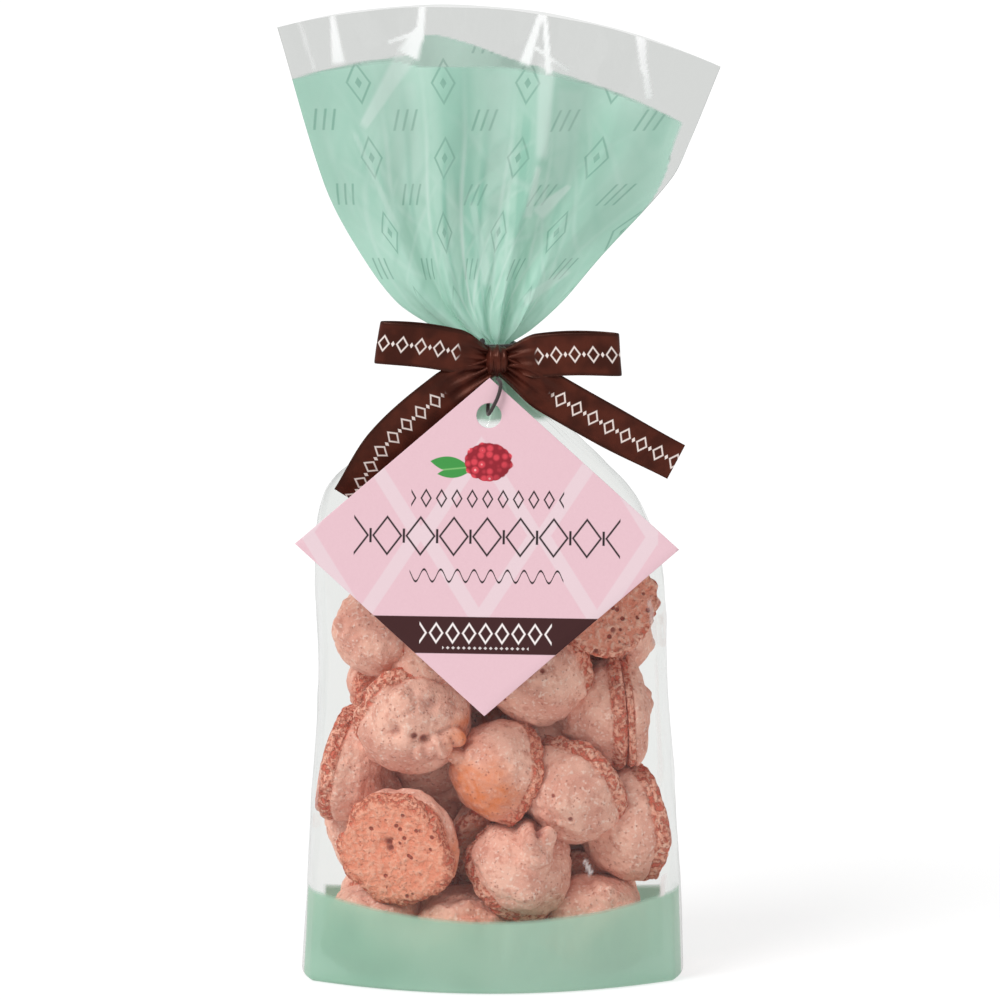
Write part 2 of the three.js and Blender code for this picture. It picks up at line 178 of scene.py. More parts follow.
def piece(name, patches, material, stands_for=None):
    """One object from patches in millimetres. It rides on the bag's only body."""
    offsets = np.cumsum([0] + [len(p["points"]) for p in patches])
    points = np.concatenate([p["points"] for p in patches]) * MM
    faces = []
    for offset, part in zip(offsets, patches):
        faces += (part["quads"] + offset).tolist() + (part["triangles"] + offset).tolist()
    mesh = bpy.data.meshes.new(name)
    mesh.from_pydata(points.tolist(), [], faces)
    mesh.shade_smooth()
    for layer in patches[0]["layers"]:
        values = np.concatenate([p["layers"][layer] for p in patches]).astype(np.float32)
        mesh.attributes.new(layer, "FLOAT", "POINT").data.foreach_set("value", values)
    mesh.materials.append(material)
    made = add_object(name, mesh)
    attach(made, "root")
    if stands_for:
        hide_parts(stands_for)
    size = np.ptp(points, axis=0) / MM
    print(f"{name}: {sum(len(face) - 2 for face in faces)} triangles, mm", np.round(size, 1))


# %% [markdown]
# ## Numbers that paint
# Print, crust and weave are rules such as "inside this lozenge" or "near this edge". In a material each
# rule is a chain of Math nodes. A Field wraps one node's output, so that the chain can be written as plain
# sums and products, and the nodes appear by themselves.


# %% Fields: node outputs that can be added and multiplied
class Field:
    """A number that changes over a surface, as the output of a shader node."""

    def __init__(self, tree, socket):
        self.tree, self.socket = tree, socket

    def maths(self, operation, *others):
        node = self.tree.nodes.new("ShaderNodeMath")
        node.operation = operation
        for slot, value in enumerate((self, *others)):
            if isinstance(value, Field):
                self.tree.links.new(value.socket, node.inputs[slot])
            else:
                node.inputs[slot].default_value = value
        return Field(self.tree, node.outputs[0])

    def __add__(self, other):
        return self.maths("ADD", other)

    def __sub__(self, other):
        return self.maths("SUBTRACT", other)

    def __mul__(self, other):
        return self.maths("MULTIPLY", other)

    def __truediv__(self, other):
        return self.maths("DIVIDE", other)

    def __abs__(self):
        return self.maths("ABSOLUTE")

    def most(self, other):
        return self.maths("MAXIMUM", other)

    def wave(self):
        return self.maths("SINE")

    def cell(self, width):
        """Distance from the middle of the nearest of a row of cells of this width, with its sign."""
        return (self / width + 0.5).maths("FRACT").maths("SUBTRACT", 0.5) * width

    def step(self, low, high):
        """0 below low and 1 above high, with a soft step between; the other way round if low is larger."""
        node = self.tree.nodes.new("ShaderNodeMapRange")
        node.interpolation_type = "SMOOTHSTEP"
        self.tree.links.new(self.socket, node.inputs["Value"])
        node.inputs["From Min"].default_value = min(low, high)
        node.inputs["From Max"].default_value = max(low, high)
        node.inputs["To Min"].default_value = 0.0 if low < high else 1.0
        node.inputs["To Max"].default_value = 1.0 if low < high else 0.0
        return Field(self.tree, node.outputs["Result"])

    def line(self, width, blur):
        """1 where this field is near 0, as a drawn line of this width."""
        return abs(self).step(width / 2 + blur, width / 2 - blur)


def layer(tree, name):
    """A named number that the piece carries on its points."""
    node = tree.nodes.new("ShaderNodeAttribute")
    node.attribute_name = name
    return Field(tree, node.outputs["Fac"])


def grain(tree, scale, detail=2.0, stretch=(1, 1, 1)):
    """Noise from 0 to 1 in the object's own coordinates. scale counts its features in a metre."""
    where = tree.nodes.new("ShaderNodeTexCoord")
    mapping = tree.nodes.new("ShaderNodeMapping")
    mapping.inputs["Scale"].default_value = stretch
    node = tree.nodes.new("ShaderNodeTexNoise")
    node.inputs["Scale"].default_value = scale
    node.inputs["Detail"].default_value = detail
    tree.links.new(where.outputs["Object"], mapping.inputs["Vector"])
    tree.links.new(mapping.outputs["Vector"], node.inputs["Vector"])
    return Field(tree, node.outputs["Fac"])


def spots(tree, scale):
    """Distance from the nearest of many scattered points, in cells: 0 at a point."""
    where = tree.nodes.new("ShaderNodeTexCoord")
    node = tree.nodes.new("ShaderNodeTexVoronoi")
    node.inputs["Scale"].default_value = scale
    tree.links.new(where.outputs["Object"], node.inputs["Vector"])
    return Field(tree, node.outputs["Distance"])


def paint(tree, under, over, mask):
    """The colour under, covered by the colour over where the mask is 1."""
    node = tree.nodes.new("ShaderNodeMix")
    node.data_type = "RGBA"
    tree.links.new(mask.socket, node.inputs["Factor"])
    for name, colour in (("A", under), ("B", over)):
        socket = [s for s in node.inputs if s.name == name and s.type == "RGBA"][0]
        if isinstance(colour, bpy.types.NodeSocket):
            tree.links.new(colour, socket)
        else:
            socket.default_value = colour
    return [s for s in node.outputs if s.type == "RGBA"][0]


def blend(tree, share, under, over):
    """Two shaders mixed: this share of the one over the other."""
    node = tree.nodes.new("ShaderNodeMixShader")
    if isinstance(share, Field):
        tree.links.new(share.socket, node.inputs[0])
    else:
        node.inputs[0].default_value = share
    tree.links.new(under, node.inputs[1])
    tree.links.new(over, node.inputs[2])
    return node.outputs[0]


def relief(tree, height, distance, strength):
    """A normal that tilts as a surface of this height would. distance is in millimetres."""
    node = tree.nodes.new("ShaderNodeBump")
    node.inputs["Distance"].default_value = distance * MM
    node.inputs["Strength"].default_value = strength
    tree.links.new(height.socket, node.inputs["Height"])
    return node.outputs["Normal"]


def tint(red, green, blue):
    """A colour as seen on a screen, from 0 to 255, as the linear light that a shader works with."""
    share = np.array([red, green, blue]) / 255
    light = np.where(share <= 0.04045, share / 12.92, ((share + 0.055) / 1.055) ** 2.4)
    return (*light.tolist(), 1.0)


def coats(tree, colour, *rows):
    """Coats of paint in turn: each row is a tint and the mask where it covers."""
    for over, mask in rows:
        colour = paint(tree, colour, tint(*over), mask)
    return colour


def dress(tree, shader, colour, normal, **numbers):
    """Gives the Principled shader its colour, its tilted normal and its numbers."""
    tree.links.new(colour, shader.inputs["Base Color"])
    tree.links.new(normal, shader.inputs["Normal"])
    for name, value in numbers.items():
        shader.inputs[name.replace("_", " ")].default_value = value


def finish(name):
    """A new material: its node tree and its Principled shader."""
    material = bpy.data.materials.new(name)
    material.use_nodes = True
    return material, material.node_tree, material.node_tree.nodes["Principled BSDF"]


print("mint is", np.round(tint(176, 205, 191), 3))

# %% [markdown]
# ## The film bag as four panels
# The bag is a tube of film with a front, a back and two narrow side gussets, pressed into four creases.
# A ring round it at any height is four shallow arcs between the creases. It could be cut from flat sheets
# and inflated as cloth, but the filled shape is known from its outline, so rings carried up that outline
# are quicker and always the same.

# %% Rings of the bag
# Each outline row: height, reach to the left, reach to the right, half depth.
BAG_OUTLINE = [
    (0, 55.6, 55.3, 28), (27, 54, 54.4, 32), (52, 52.6, 52.7, 32.5), (86, 50.3, 50, 31.3),
    (120, 51.2, 48.4, 25), (136, 49.6, 42.6, 20), (145, 44.5, 35.4, 16.6), (158, 25, 21.5, 11.2),
    (168, 8.5, 8.5, 7), (173, 4.9, 4.9, 4.9),
]
CREASE_DEPTH = 0.48
SIDE_BOW = 0.055
BAND_TOP = 27.0
BACK_BAND_TOP = 21.0
# The band is printed over the creases onto the gussets, up to here: t counted from a gusset's middle.
SIDE_PRINT = 0.55
# Half the width, in mm, that the print's pattern counts across the front and across the back.
PRINT_HALF = 56
BAND_DIP = 5.0
FOOT_ROUND = 1.2
FRONT, RIGHT, BACK, LEFT = range(4)


def panel_columns(front, side):
    """t from -1 to 1 across each panel in turn, and the panel's number, anticlockwise seen from above."""
    counts = [front, side, front, side]
    t = np.concatenate([2 * np.arange(n) / n - 1 for n in counts])
    return t, np.repeat(np.arange(4), counts)


def bowed(t, panel, half_width, half_depth, crease_x, crease_y):
    """x and y of a ring: each panel bows out between its creases as a parabola, 1 minus t squared."""
    bulge = 1 - t * t
    front = crease_y + (half_depth - crease_y) * bulge
    side = crease_x + (half_width - crease_x) * bulge
    return [
        np.where(panel == FRONT, crease_x * t, np.where(panel == RIGHT, side,
                 np.where(panel == BACK, -crease_x * t, -side))),
        np.where(panel == FRONT, -front, np.where(panel == RIGHT, crease_y * t,
                 np.where(panel == BACK, front, -crease_y * t))),
    ]


def bag_section(height):
    """Middle, half width and half depth of the filled bag at a height."""
    left, right, half_depth = (along(BAG_OUTLINE, height, k) for k in (1, 2, 3))
    return (right - left) / 2, (right + left) / 2, half_depth


def dip(height):
    """The bulging front carries the middle of a level line of the film down, most at the band's edge."""
    return np.where(height < 2 * BAND_TOP, BAND_DIP * np.sin(np.pi * height / (2 * BAND_TOP)), 0)


print("half width at mid height:", round(float(bag_section(60.0)[1]), 1), "mm")

# %% [markdown]
# ## Folds
# Film keeps its length, so where it is drawn together at the neck it has to fold. Each fold here is a
# line from a place at the neck to a place further out, with a sharp ridge along it. The height of the
# film over its plain form is the sum of all these ridges, plus straight creases and a fine crinkle left
# by handling.

# %% Folds in a panel of film
# Each row: t at the neck, t at the far end, half width in t, height in mm (below 0 is a valley), and the
# share of the way out at which the fold has faded away.
FAN_FRONT_FOLDS = [
    (-0.75, -0.80, 0.10, 1.3, 1.3), (-0.45, -0.62, 0.07, -1.6, 0.75), (-0.30, -0.36, 0.05, 1.5, 1.25),
    (-0.12, -0.14, 0.11, -2.3, 1.2), (0.05, 0.04, 0.07, 1.2, 0.6), (0.17, 0.16, 0.045, -1.7, 0.7),
    (0.30, 0.27, 0.05, 1.7, 1.2), (0.42, 0.50, 0.06, -1.4, 0.55), (0.55, 0.62, 0.05, 1.5, 1.25),
    (0.78, 0.80, 0.08, -1.2, 0.5), (-0.60, -0.72, 0.05, 1.0, 0.5), (0.65, 0.42, 0.04, 1.3, 0.42),
]
FAN_BACK_FOLDS = [
    (-0.7, -0.78, 0.09, -1.4, 0.8), (-0.42, -0.5, 0.06, 1.6, 1.2), (-0.2, -0.22, 0.1, -1.9, 1.2),
    (0.02, 0.0, 0.05, 1.5, 0.7), (0.22, 0.28, 0.08, -1.8, 1.1), (0.45, 0.5, 0.05, 1.5, 1.2),
    (0.7, 0.75, 0.09, -1.3, 0.7),
]


def folded(t, share, folds):
    """Sum of ridges: each is its height times 1 / (1 + (distance / half width) squared), fading out with
    its share, and pressed flat where the panel meets its creases."""
    total = np.zeros(np.broadcast(t, share).shape)
    for neck, far, width, height, end in folds:
        middle = neck + (far - neck) * soft_step(share, 0, 1)
        ridge = 1 / (1 + ((t - middle) / width) ** 2)
        total += height * ridge * (1 - soft_step(share, 0.55 * end, end)) * soft_step(share, 0, 0.12)
    return total * (1 - t**4)


def crumpled(sheet, size, seed):
    """Sharp little ridges: where smooth noise crosses 0, a ridge stands, as 1 minus its size, cubed."""
    return (1 - np.minimum(np.abs(noise(sheet, size, seed)) * 2.2, 1)) ** 3


# Each row: the direction a set of creases runs across, in degrees, their spacing and their height in mm.
FAN_CREASES = [(0, 15, 1.1), (28, 12, 0.9), (-35, 13, 0.9), (65, 10, 0.5), (-60, 8, 0.4)]


def faceted(sheet, rows, seed):
    """Sum of waves that rise and fall in straight lines, which leaves flat faces between sharp creases:
    each is its height times the size of 2 (place in its period) minus 1. Noise bends the lines and lets
    them come and go. Gives the height, and how near a place is to a ridge and to a valley."""
    total, ridge, valley = (np.zeros(sheet.shape[:-1]) for _ in range(3))
    for number, (direction, spacing, height) in enumerate(rows):
        angle = np.radians(direction)
        place = (sheet[..., 0] * np.cos(angle) + sheet[..., 2] * np.sin(angle)) / spacing
        place = place + 0.35 * noise(sheet, 2.2 * spacing, seed + number)
        wave = np.abs(2 * (place - np.floor(place)) - 1)
        strength = soft_step(noise(sheet, 2.6 * spacing, seed + 20 + number), -0.4, 0.4)
        total += height * wave * strength
        ridge = np.maximum(ridge, soft_step(wave, 0.8, 1) * strength * height)
        valley = np.maximum(valley, soft_step(wave, 0.3, 0) * strength * height)
    return total, ridge, valley


print(len(FAN_FRONT_FOLDS), "folds in front,", len(FAN_BACK_FOLDS), "behind")

# %% [markdown]
# ## The body of the bag
# From the base up to the neck the film is filled by the macarons. Its foot turns under with a small
# round, the band of print ends in a line that sags with the belly, and pleats gather on the shoulder.

# %% Body film
def strokes(x, z, rows, sharp=0.3, fade=0.1):
    """The strongest of straight strokes at a place, seen from the front. Each row: x, z and width at its
    start, the same at its end, and its strength, which holds over a sharp share of its width and fades at
    its sides and ends."""
    total = np.zeros(np.broadcast(x, z).shape)
    for x1, z1, w1, x2, z2, w2, strength in rows:
        across, up = x2 - x1, z2 - z1
        share = np.clip(((x - x1) * across + (z - z1) * up) / (across**2 + up**2), 0, 1)
        distance = np.hypot(x - x1 - share * across, z - z1 - share * up)
        width = w1 + (w2 - w1) * share
        ends = soft_step(share, 0, fade) * soft_step(share, 1, 1 - fade)
        total = np.maximum(total, strength * ends * (1 - soft_step(distance / width, sharp, 0.65)))
    return total


# Painted highlights, drawn where the film of the body would catch the light.
PAINTED_BODY_GLINTS = [
    (25.6, 39.6, 0.8, 28.0, 34.6, 1.4, 0.6), (48.6, 32.5, 1.2, 48.2, 25.6, 1.8, 0.8),
    (-49.8, 76.0, 1.4, -50.6, 108.0, 1.6, 0.3), (47.6, 56.0, 1.4, 46.6, 96.0, 1.6, 0.3),
    (-51.8, 32.0, 1.4, -50.8, 60.0, 1.4, 0.3), (44.0, 112.0, 1.2, 46.6, 98.0, 2.0, 0.35),
]
NECK_TOP = 183.0
PLEATS = 13
PLEATS_FROM = 136.0
PRINT_LOW = 161.0
BODY_TOP = 179.0
BODY_ROWS = 236


def body_film():
    """Rings at rising heights. Pleats push the shoulder in and out as a cosine round the neck, more
    towards it, and crinkles are noise stretched along the height."""
    t, panel = panel_columns(156, 24)
    turn = np.linspace(0, np.pi / 2, 5)[:-1]
    height = np.concatenate([FOOT_ROUND * (1 - np.cos(turn)), np.linspace(FOOT_ROUND, BODY_TOP, BODY_ROWS)])
    inset = np.concatenate([FOOT_ROUND * (1 - np.sin(turn)), np.zeros(BODY_ROWS)])
    height, inset = height[:, None], inset[:, None]
    middle, half_width, half_depth = bag_section(height)
    half_width, half_depth = half_width - inset, half_depth - inset
    x, y = bowed(t, panel, half_width, half_depth, half_width * (1 - SIDE_BOW), half_depth * CREASE_DEPTH)
    flat = (panel == FRONT) | (panel == BACK)
    z = height - np.where(flat, dip(height) * (1 - t * t), 0)
    around = np.arange(len(t)) / len(t)
    radius = np.hypot(x, y)
    gather = soft_step(height, PLEATS_FROM - 6, 173)
    pleat = np.cos(2 * np.pi * PLEATS * around + 1.5 * np.sin(4 * np.pi * around)) * gather
    pleat = pleat * np.interp(height, [PLEATS_FROM, 156, 168, 173], [0.6, 1.5, 0.9, 0.3])
    ring = points_at(x, y, z * 0.35)
    calm = soft_step(height, 2, 30) * (1 - soft_step(height, 150, 165))
    crinkle = calm * (0.35 * noise(ring, 7.0, 3) + 0.16 * noise(ring, 2.6, 4))
    out = 1 + (pleat + crinkle - 0.15) / radius
    grid = points_at(middle + x * out, y * out, z)
    top = np.where(panel == BACK, BACK_BAND_TOP, BAND_TOP)
    band = (1 - soft_step(height, top - 0.4, top + 0.4)) + soft_step(height, PRINT_LOW, PRINT_LOW + 1.5)
    turned_in = np.where(panel == RIGHT, -t, t) - SIDE_PRINT
    on_flat = 1 - soft_step(np.abs(t) * (panel == BACK), 0.955, 0.965)
    inside = np.where(flat, on_flat, soft_step(turned_in, 0, 0.04))
    ink = np.maximum(inside, height > 100) * band
    across = np.where(panel == BACK, -t, t) * PRINT_HALF
    # On the body the crease layer carries only these painted highlights.
    painted_glint = strokes(grid[..., 0], grid[..., 2], PAINTED_BODY_GLINTS) * (panel == FRONT)
    return patch(grid, start=(0, 0, 0.02), ink=ink, across=across + 0 * height, upward=height - NECK_TOP,
                 crease=painted_glint, deep=0 * painted_glint)


# %% [markdown]
# ## The fan
# Above the tie the tube opens into a flared fan, with its two faces a little apart in the middle and
# pressed together at the sides. The rim is cut square across the flat tube, so on the spread fan it rises
# to a peak left of the middle.

# %% Fan film
RIM_TOP = 277.6
RIM_PEAK_X = -14.0
RIM_FALL = 0.0028
FAN_LEFT = [(0, 4.9), (0.04, 14.5), (0.13, 27), (0.32, 39.3), (0.51, 47.6), (1, 60.3)]
FAN_RIGHT = [(0, 4.9), (0.05, 11.5), (0.15, 20), (0.3, 29.6), (0.59, 49.9), (0.73, 55.3), (1, 63.8)]
FAN_DEPTH = [(0, 4.9), (0.3, 6.2), (1, 9)]
FAN_EDGE = 1.1
FAN_WAVE = 2.4
FAN_WAVES = 2.2
FAN_START = -0.07
# Far more than the size of any noise, so that the front and the back crumple differently.
FACES_APART = 200
# The clear strip above the print: place x, its width in front, and behind.
CLEAR_RIM = [
    (-60, 14.5, 14.5), (-30, 14.5, 14), (-24, 16, 13), (-21, 16.5, 8.6), (-8, 16.5, 10.5), (8, 16, 14.5),
    (30, 16.4, 16.4), (64, 17.8, 17.8),
]
# Painted highlights where sharp folds catch the light, partly creases turned milk-white.
GLINT_AND_CREASE_STREAKS = [
    (-45.0, 277.0, 0.9, -43.0, 261.0, 4.0, 1.0), (-19.0, 284.0, 1.6, -20.6, 267.0, 2.6, 1.0),
    (-20.0, 272.0, 2.4, -24.0, 263.6, 7.0, 1.0), (-20.5, 270.4, 1.6, -29.6, 267.6, 1.0, 1.0),
    (-22.6, 266.6, 6.5, -37.0, 243.0, 2.4, 0.3), (14.4, 279.0, 1.1, 8.6, 260.8, 3.2, 1.0),
    (14.2, 279.0, 1.1, 15.6, 258.0, 2.1, 1.0), (11.0, 267.0, 1.0, 21.6, 259.6, 1.2, 0.8),
    (15.2, 264.0, 5.0, 13.6, 234.0, 3.5, 0.26), (41.0, 272.4, 3.2, 42.2, 258.5, 1.6, 1.0),
    (42.0, 263.5, 1.3, 43.8, 251.4, 2.2, 1.0), (13.0, 234.0, 1.4, 9.6, 218.0, 2.4, 0.3),
    (22.0, 228.0, 1.2, 12.0, 219.0, 5.0, 0.35), (22.0, 204.0, 2.0, 8.0, 194.4, 3.4, 0.25),
    (-39.5, 244.0, 1.4, -27.0, 216.0, 1.6, 0.16), (-55.4, 277.0, 1.2, -49.6, 259.0, 1.0, 0.35),
    (-6.0, 224.0, 1.6, -1.0, 198.0, 3.4, 0.18), (2.0, 262.0, 9.0, 0.0, 205.0, 4.0, 0.1),
    (22.0, 256.0, 8.0, 19.0, 226.0, 6.0, 0.12), (-26.0, 258.0, 9.0, -22.0, 222.0, 8.0, 0.1),
]
# Deeper green where the film lies in two layers, with painted shade in its folds and at the neck.
DOUBLE_AND_SHADE_STROKES = [
    (-12.0, 282.0, 13.0, -9.0, 222.0, 9.0, 0.6), (-10.0, 240.0, 8.0, -4.0, 202.0, 4.0, 0.7),
    (10.0, 252.0, 3.0, 6.4, 206.0, 2.6, 0.7), (6.5, 206.0, 2.4, 2.0, 184.0, 1.6, 0.7),
    (-3.0, 202.0, 2.0, -1.8, 184.0, 1.4, 0.7), (38.0, 252.0, 12.0, 15.0, 202.0, 4.0, 0.2),
    (-34.0, 236.0, 2.0, -16.0, 196.0, 2.4, 0.3), (52.0, 262.0, 8.0, 44.0, 236.0, 5.0, 0.3),
]


def rim_height(x):
    """Height of the rim over a place x: it falls by the square of the distance from its peak."""
    return RIM_TOP - RIM_FALL * (x - RIM_PEAK_X) ** 2


def fan_film():
    """Rings that widen from the neck to the rim. Each face carries soft waves, its folds, creases and a
    crinkle. In front the creases' ridges get painted highlights in milk-white and their valleys painted
    shade in deeper green."""
    t, panel = panel_columns(200, 10)
    share = np.linspace(0, 1, 214) ** 1.25 * (1 - FAN_START) + FAN_START
    share = share[:, None]
    left, right, half_depth = (along(rows, share) for rows in (FAN_LEFT, FAN_RIGHT, FAN_DEPTH))
    edge = FAN_DEPTH[0][1] * CREASE_DEPTH
    edge = edge + (FAN_EDGE - edge) * soft_step(share, 0, 0.4)
    middle, half_width = (right - left) / 2, (right + left) / 2
    crease_x = half_width * (1 - SIDE_BOW * (1 - soft_step(share, 0, 0.3)))
    x, y = bowed(t, panel, half_width, half_depth, crease_x, edge)
    facing = np.where(panel == FRONT, 1, -1)
    flat = (panel == FRONT) | (panel == BACK)
    rim_x = FAN_LEFT[-1][1] * -1 + (x / half_width + 1) / 2 * (FAN_LEFT[-1][1] + FAN_RIGHT[-1][1])
    z = NECK_TOP + share * (rim_height(rim_x) - NECK_TOP)
    up = np.clip(share, 0, 1)
    wave = FAN_WAVE * np.sqrt(up) * (1 - t**4) * np.sin(2 * np.pi * FAN_WAVES * t * facing + 1.1 * facing)
    fold = np.where(panel == FRONT, -folded(t, up, FAN_FRONT_FOLDS), folded(-t, up, FAN_BACK_FOLDS))
    side = np.where(panel == BACK, -t, t)
    sheet = points_at(side * PRINT_HALF + facing * FACES_APART, 0, up * 98 * 0.5)
    lower = soft_step(up, 0.03, 0.12) * (1 - soft_step(up, 0.35, 0.85))
    creases, ridge, valley = faceted(sheet, FAN_CREASES, 60)
    crinkle = 0.3 * noise(sheet, 9.0, 5) + 0.22 * noise(sheet, 4.0, 6) + (0.2 + 0.8 * lower) * creases
    crinkle = crinkle * (1 - t**4) * soft_step(up, 0.02, 0.2)
    around = np.arange(len(t)) / len(t)
    pleat = 0.9 * np.cos(2 * np.pi * PLEATS * around) * (1 - soft_step(share, 0.02, 0.3))
    pleat = pleat * soft_step(share, -0.05, 0.03)
    out = 1 + pleat / np.hypot(x, y)
    y = y * out + np.where(flat, wave + fold + crinkle, 0)
    grid = points_at(middle + x * out, y, z)
    length = share * (rim_height(rim_x) - NECK_TOP)
    strip = np.where(panel == BACK, along(CLEAR_RIM, rim_x, 2), along(CLEAR_RIM, rim_x, 1))
    top = rim_height(rim_x) - NECK_TOP - strip
    below = 1 - soft_step(length, top - 0.25, top + 0.25)
    margin = 0.93 + 0.09 * (1 - soft_step(share, 0.4, 0.72))
    inside = 1 - soft_step(side, margin - 0.004, margin + 0.004)
    ink = np.where(panel == RIGHT, 1 - soft_step(share, 0.46, 0.48), np.where(panel == LEFT, 1, inside))
    ink = ink * below
    in_front = np.where(panel == FRONT, 1, 0.0)
    wrinkled = (0.1 + lower) * in_front * (1 - t**4)
    # Painted highlights: the streaks and the ridges of the creases. Painted shade, partly film in two layers:
    # the deeper green strokes and the valleys of the creases.
    milky_and_glint = strokes(grid[..., 0], grid[..., 2], GLINT_AND_CREASE_STREAKS) * in_front
    milky_and_glint = np.maximum(milky_and_glint, 0.3 * ridge * wrinkled)
    deep = strokes(grid[..., 0], grid[..., 2], DOUBLE_AND_SHADE_STROKES, 0.25, 0.2) * in_front
    deep = np.maximum(deep, 0.8 * valley * wrinkled)
    return patch(grid, ink=ink, across=side * PRINT_HALF + 0 * length, upward=length, crease=milky_and_glint, deep=deep)


body, fan = body_film(), fan_film()
print("film points:", len(body["points"]), len(fan["points"]))

# %% [markdown]
# ## Film and ink
# Clear film is hardly there: light goes straight through and only a few percent is reflected, more at a
# shallow angle. That is a mix of a Transparent and a Glossy shader, by the fifth power of the slant as
# in Schlick's rule, without the bending of glass, because a film is far too thin to bend light. The mint
# ink is a coat that hides most of what is behind and lets some light through. It has a tone on tone
# pattern of lozenges and small sprigs.

# %% The film's material
MOTIF_WIDTH = 23.5
MOTIF_HEIGHT = 21.0
MOTIF_SHIFT = 8.6
# Mint tints: darker, lighter, deeper green for film in two layers and painted fold shade, the motif's, and a
# lighter one near the neck, painted light.
BODY_MINTS = [(154, 198, 175), (174, 213, 192), (128, 180, 156), (122, 168, 150), (160, 200, 184)]
FAN_MINTS = [(172, 213, 196), (192, 227, 212), (140, 198, 177), (128, 176, 158), (196, 236, 220)]
# The share of light that the ink passes on from behind.
THROUGH = 0.35


def lozenge(across, upward, half_width, half_height):
    """Below 0 inside a lozenge and above 0 outside it, growing by 1 for each of its own sizes."""
    return abs(across) / half_width + abs(upward) / half_height - 1


def motifs(tree, across, upward):
    """Outlined lozenges with a dot, and between them sprigs of three slanting strokes."""
    across, upward = across - MOTIF_SHIFT, upward - MOTIF_HEIGHT / 2
    x, y = across.cell(MOTIF_WIDTH), upward.cell(MOTIF_HEIGHT)
    outline = lozenge(x, y, 3.2, 5.6).line(0.2, 0.07)
    dot = lozenge(x, y, 0.9, 1.5).step(0.2, -0.1)
    x2 = (across + MOTIF_WIDTH / 2).cell(MOTIF_WIDTH)
    y2 = (upward + MOTIF_HEIGHT / 2).cell(MOTIF_HEIGHT)
    slant = x2 - y2 * 0.35
    inside = abs(y2).step(3.2, 2.8) * abs(slant).step(4.1, 3.8)
    return outline.most(dot).most(slant.cell(2.6).line(0.7, 0.25) * inside)


def film_material(name, clearness, cover, mints):
    """Clear film under a coat of ink that hides this share of what is behind; the film turns milk-white where
    the crease layer says, for painted highlights and creases turned white. The ink's tints: the darker, the
    lighter, deeper green where film lies in two layers and painted shade falls in its folds, the motif's,
    and a lighter one where the film gathers at the neck, painted light over its shade."""
    material, tree, principled = finish(name)
    ink, across, upward, crease, deep = (
        layer(tree, value) for value in ("ink", "across", "upward", "crease", "deep")
    )
    pattern = motifs(tree, across, upward) * upward.step(8, 20)
    dark, light, doubled_and_shaded, mark, gathered_and_lit = (tint(*colour) for colour in mints)
    mint = paint(tree, dark, light, grain(tree, 22, 2).step(0.35, 0.65))
    # Near the neck a lighter mint: painted light over the shade where the film gathers.
    mint = paint(tree, mint, gathered_and_lit, upward.step(45, 4) * upward.step(-4, 0))
    # Deeper green: film in two layers, and painted shade in its folds.
    mint = paint(tree, mint, doubled_and_shaded, deep)
    mint = paint(tree, mint, mark, pattern * 0.8)
    normal = relief(tree, grain(tree, 260, 3, (1, 1, 0.45)), 0.25, 0.5)
    dress(tree, principled, mint, normal, Roughness=0.3, Specular_IOR_Level=0.5)
    clear = tree.nodes.new("ShaderNodeBsdfTransparent")
    clear.inputs["Color"].default_value = (clearness, clearness * 1.01, clearness, 1)
    shine = tree.nodes.new("ShaderNodeBsdfGlossy")
    shine.inputs["Roughness"].default_value = 0.08
    tree.links.new(normal, shine.inputs["Normal"])
    slant = tree.nodes.new("ShaderNodeLayerWeight")
    slant.inputs["Blend"].default_value = 0.5
    tree.links.new(normal, slant.inputs["Normal"])
    # A milk-white coat where the crease layer says: painted highlights, and creases turned white.
    milky_and_glint, glow = tree.nodes.new("ShaderNodeBsdfDiffuse"), tree.nodes.new("ShaderNodeBsdfTranslucent")
    for shader in (milky_and_glint, glow):
        shader.inputs["Color"].default_value = (0.95, 0.95, 0.95, 1)

    through = tree.nodes.new("ShaderNodeBsdfTranslucent")
    tree.links.new(mint, through.inputs["Color"])

    mirrored = Field(tree, slant.outputs["Facing"]).maths("POWER", 5.0) * 0.9 + 0.028
    film = blend(tree, mirrored, clear.outputs[0], shine.outputs[0])
    coat = blend(tree, THROUGH, principled.outputs[0], through.outputs[0])
    coat = blend(tree, ink * cover, film, coat)
    white = blend(tree, THROUGH, milky_and_glint.outputs[0], glow.outputs[0])
    skin = blend(tree, crease, coat, white)
    tree.links.new(skin, tree.nodes["Material Output"].inputs["Surface"])
    return material


piece("film_body", [body], film_material("body_film", 0.885, 0.95, BODY_MINTS), "bag")
piece("film_fan", [fan], film_material("fan_film", 0.79, 0.78, FAN_MINTS), "bag")

# %% [markdown]
# ## A macaron
# An old-fashioned macaron is piped batter that rose in the oven: a smooth matt dome with a small peak
# where the piping stopped, on a porous foot that spread on the tray. It could be sculpted, but a section
# carried round a circle with noise on it gives each one its own face from a few numbers.

# %% Surface of a macaron
# Each row of a section: place along it, share of the radius, share of the height, how much of it is foot.
SECTION = [
    (0, 0.03, 0.035, 1), (0.1, 0.3, 0.03, 1), (0.2, 0.6, 0.015, 1), (0.28, 0.85, 0, 1),
    (0.33, 0.95, 0.01, 1), (0.37, 1.0, 0.06, 1), (0.42, 1.005, 0.14, 1), (0.46, 0.985, 0.21, 1),
    (0.49, 0.95, 0.25, 0.8), (0.52, 0.965, 0.28, 0.2), (0.56, 0.965, 0.34, 0), (0.62, 0.935, 0.44, 0),
    (0.7, 0.86, 0.59, 0), (0.78, 0.73, 0.73, 0), (0.85, 0.55, 0.87, 0), (0.91, 0.33, 0.96, 0),
    (0.95, 0.19, 1.01, 0), (0.98, 0.11, 1.07, 0), (1, 0.015, 1.12, 0),
]
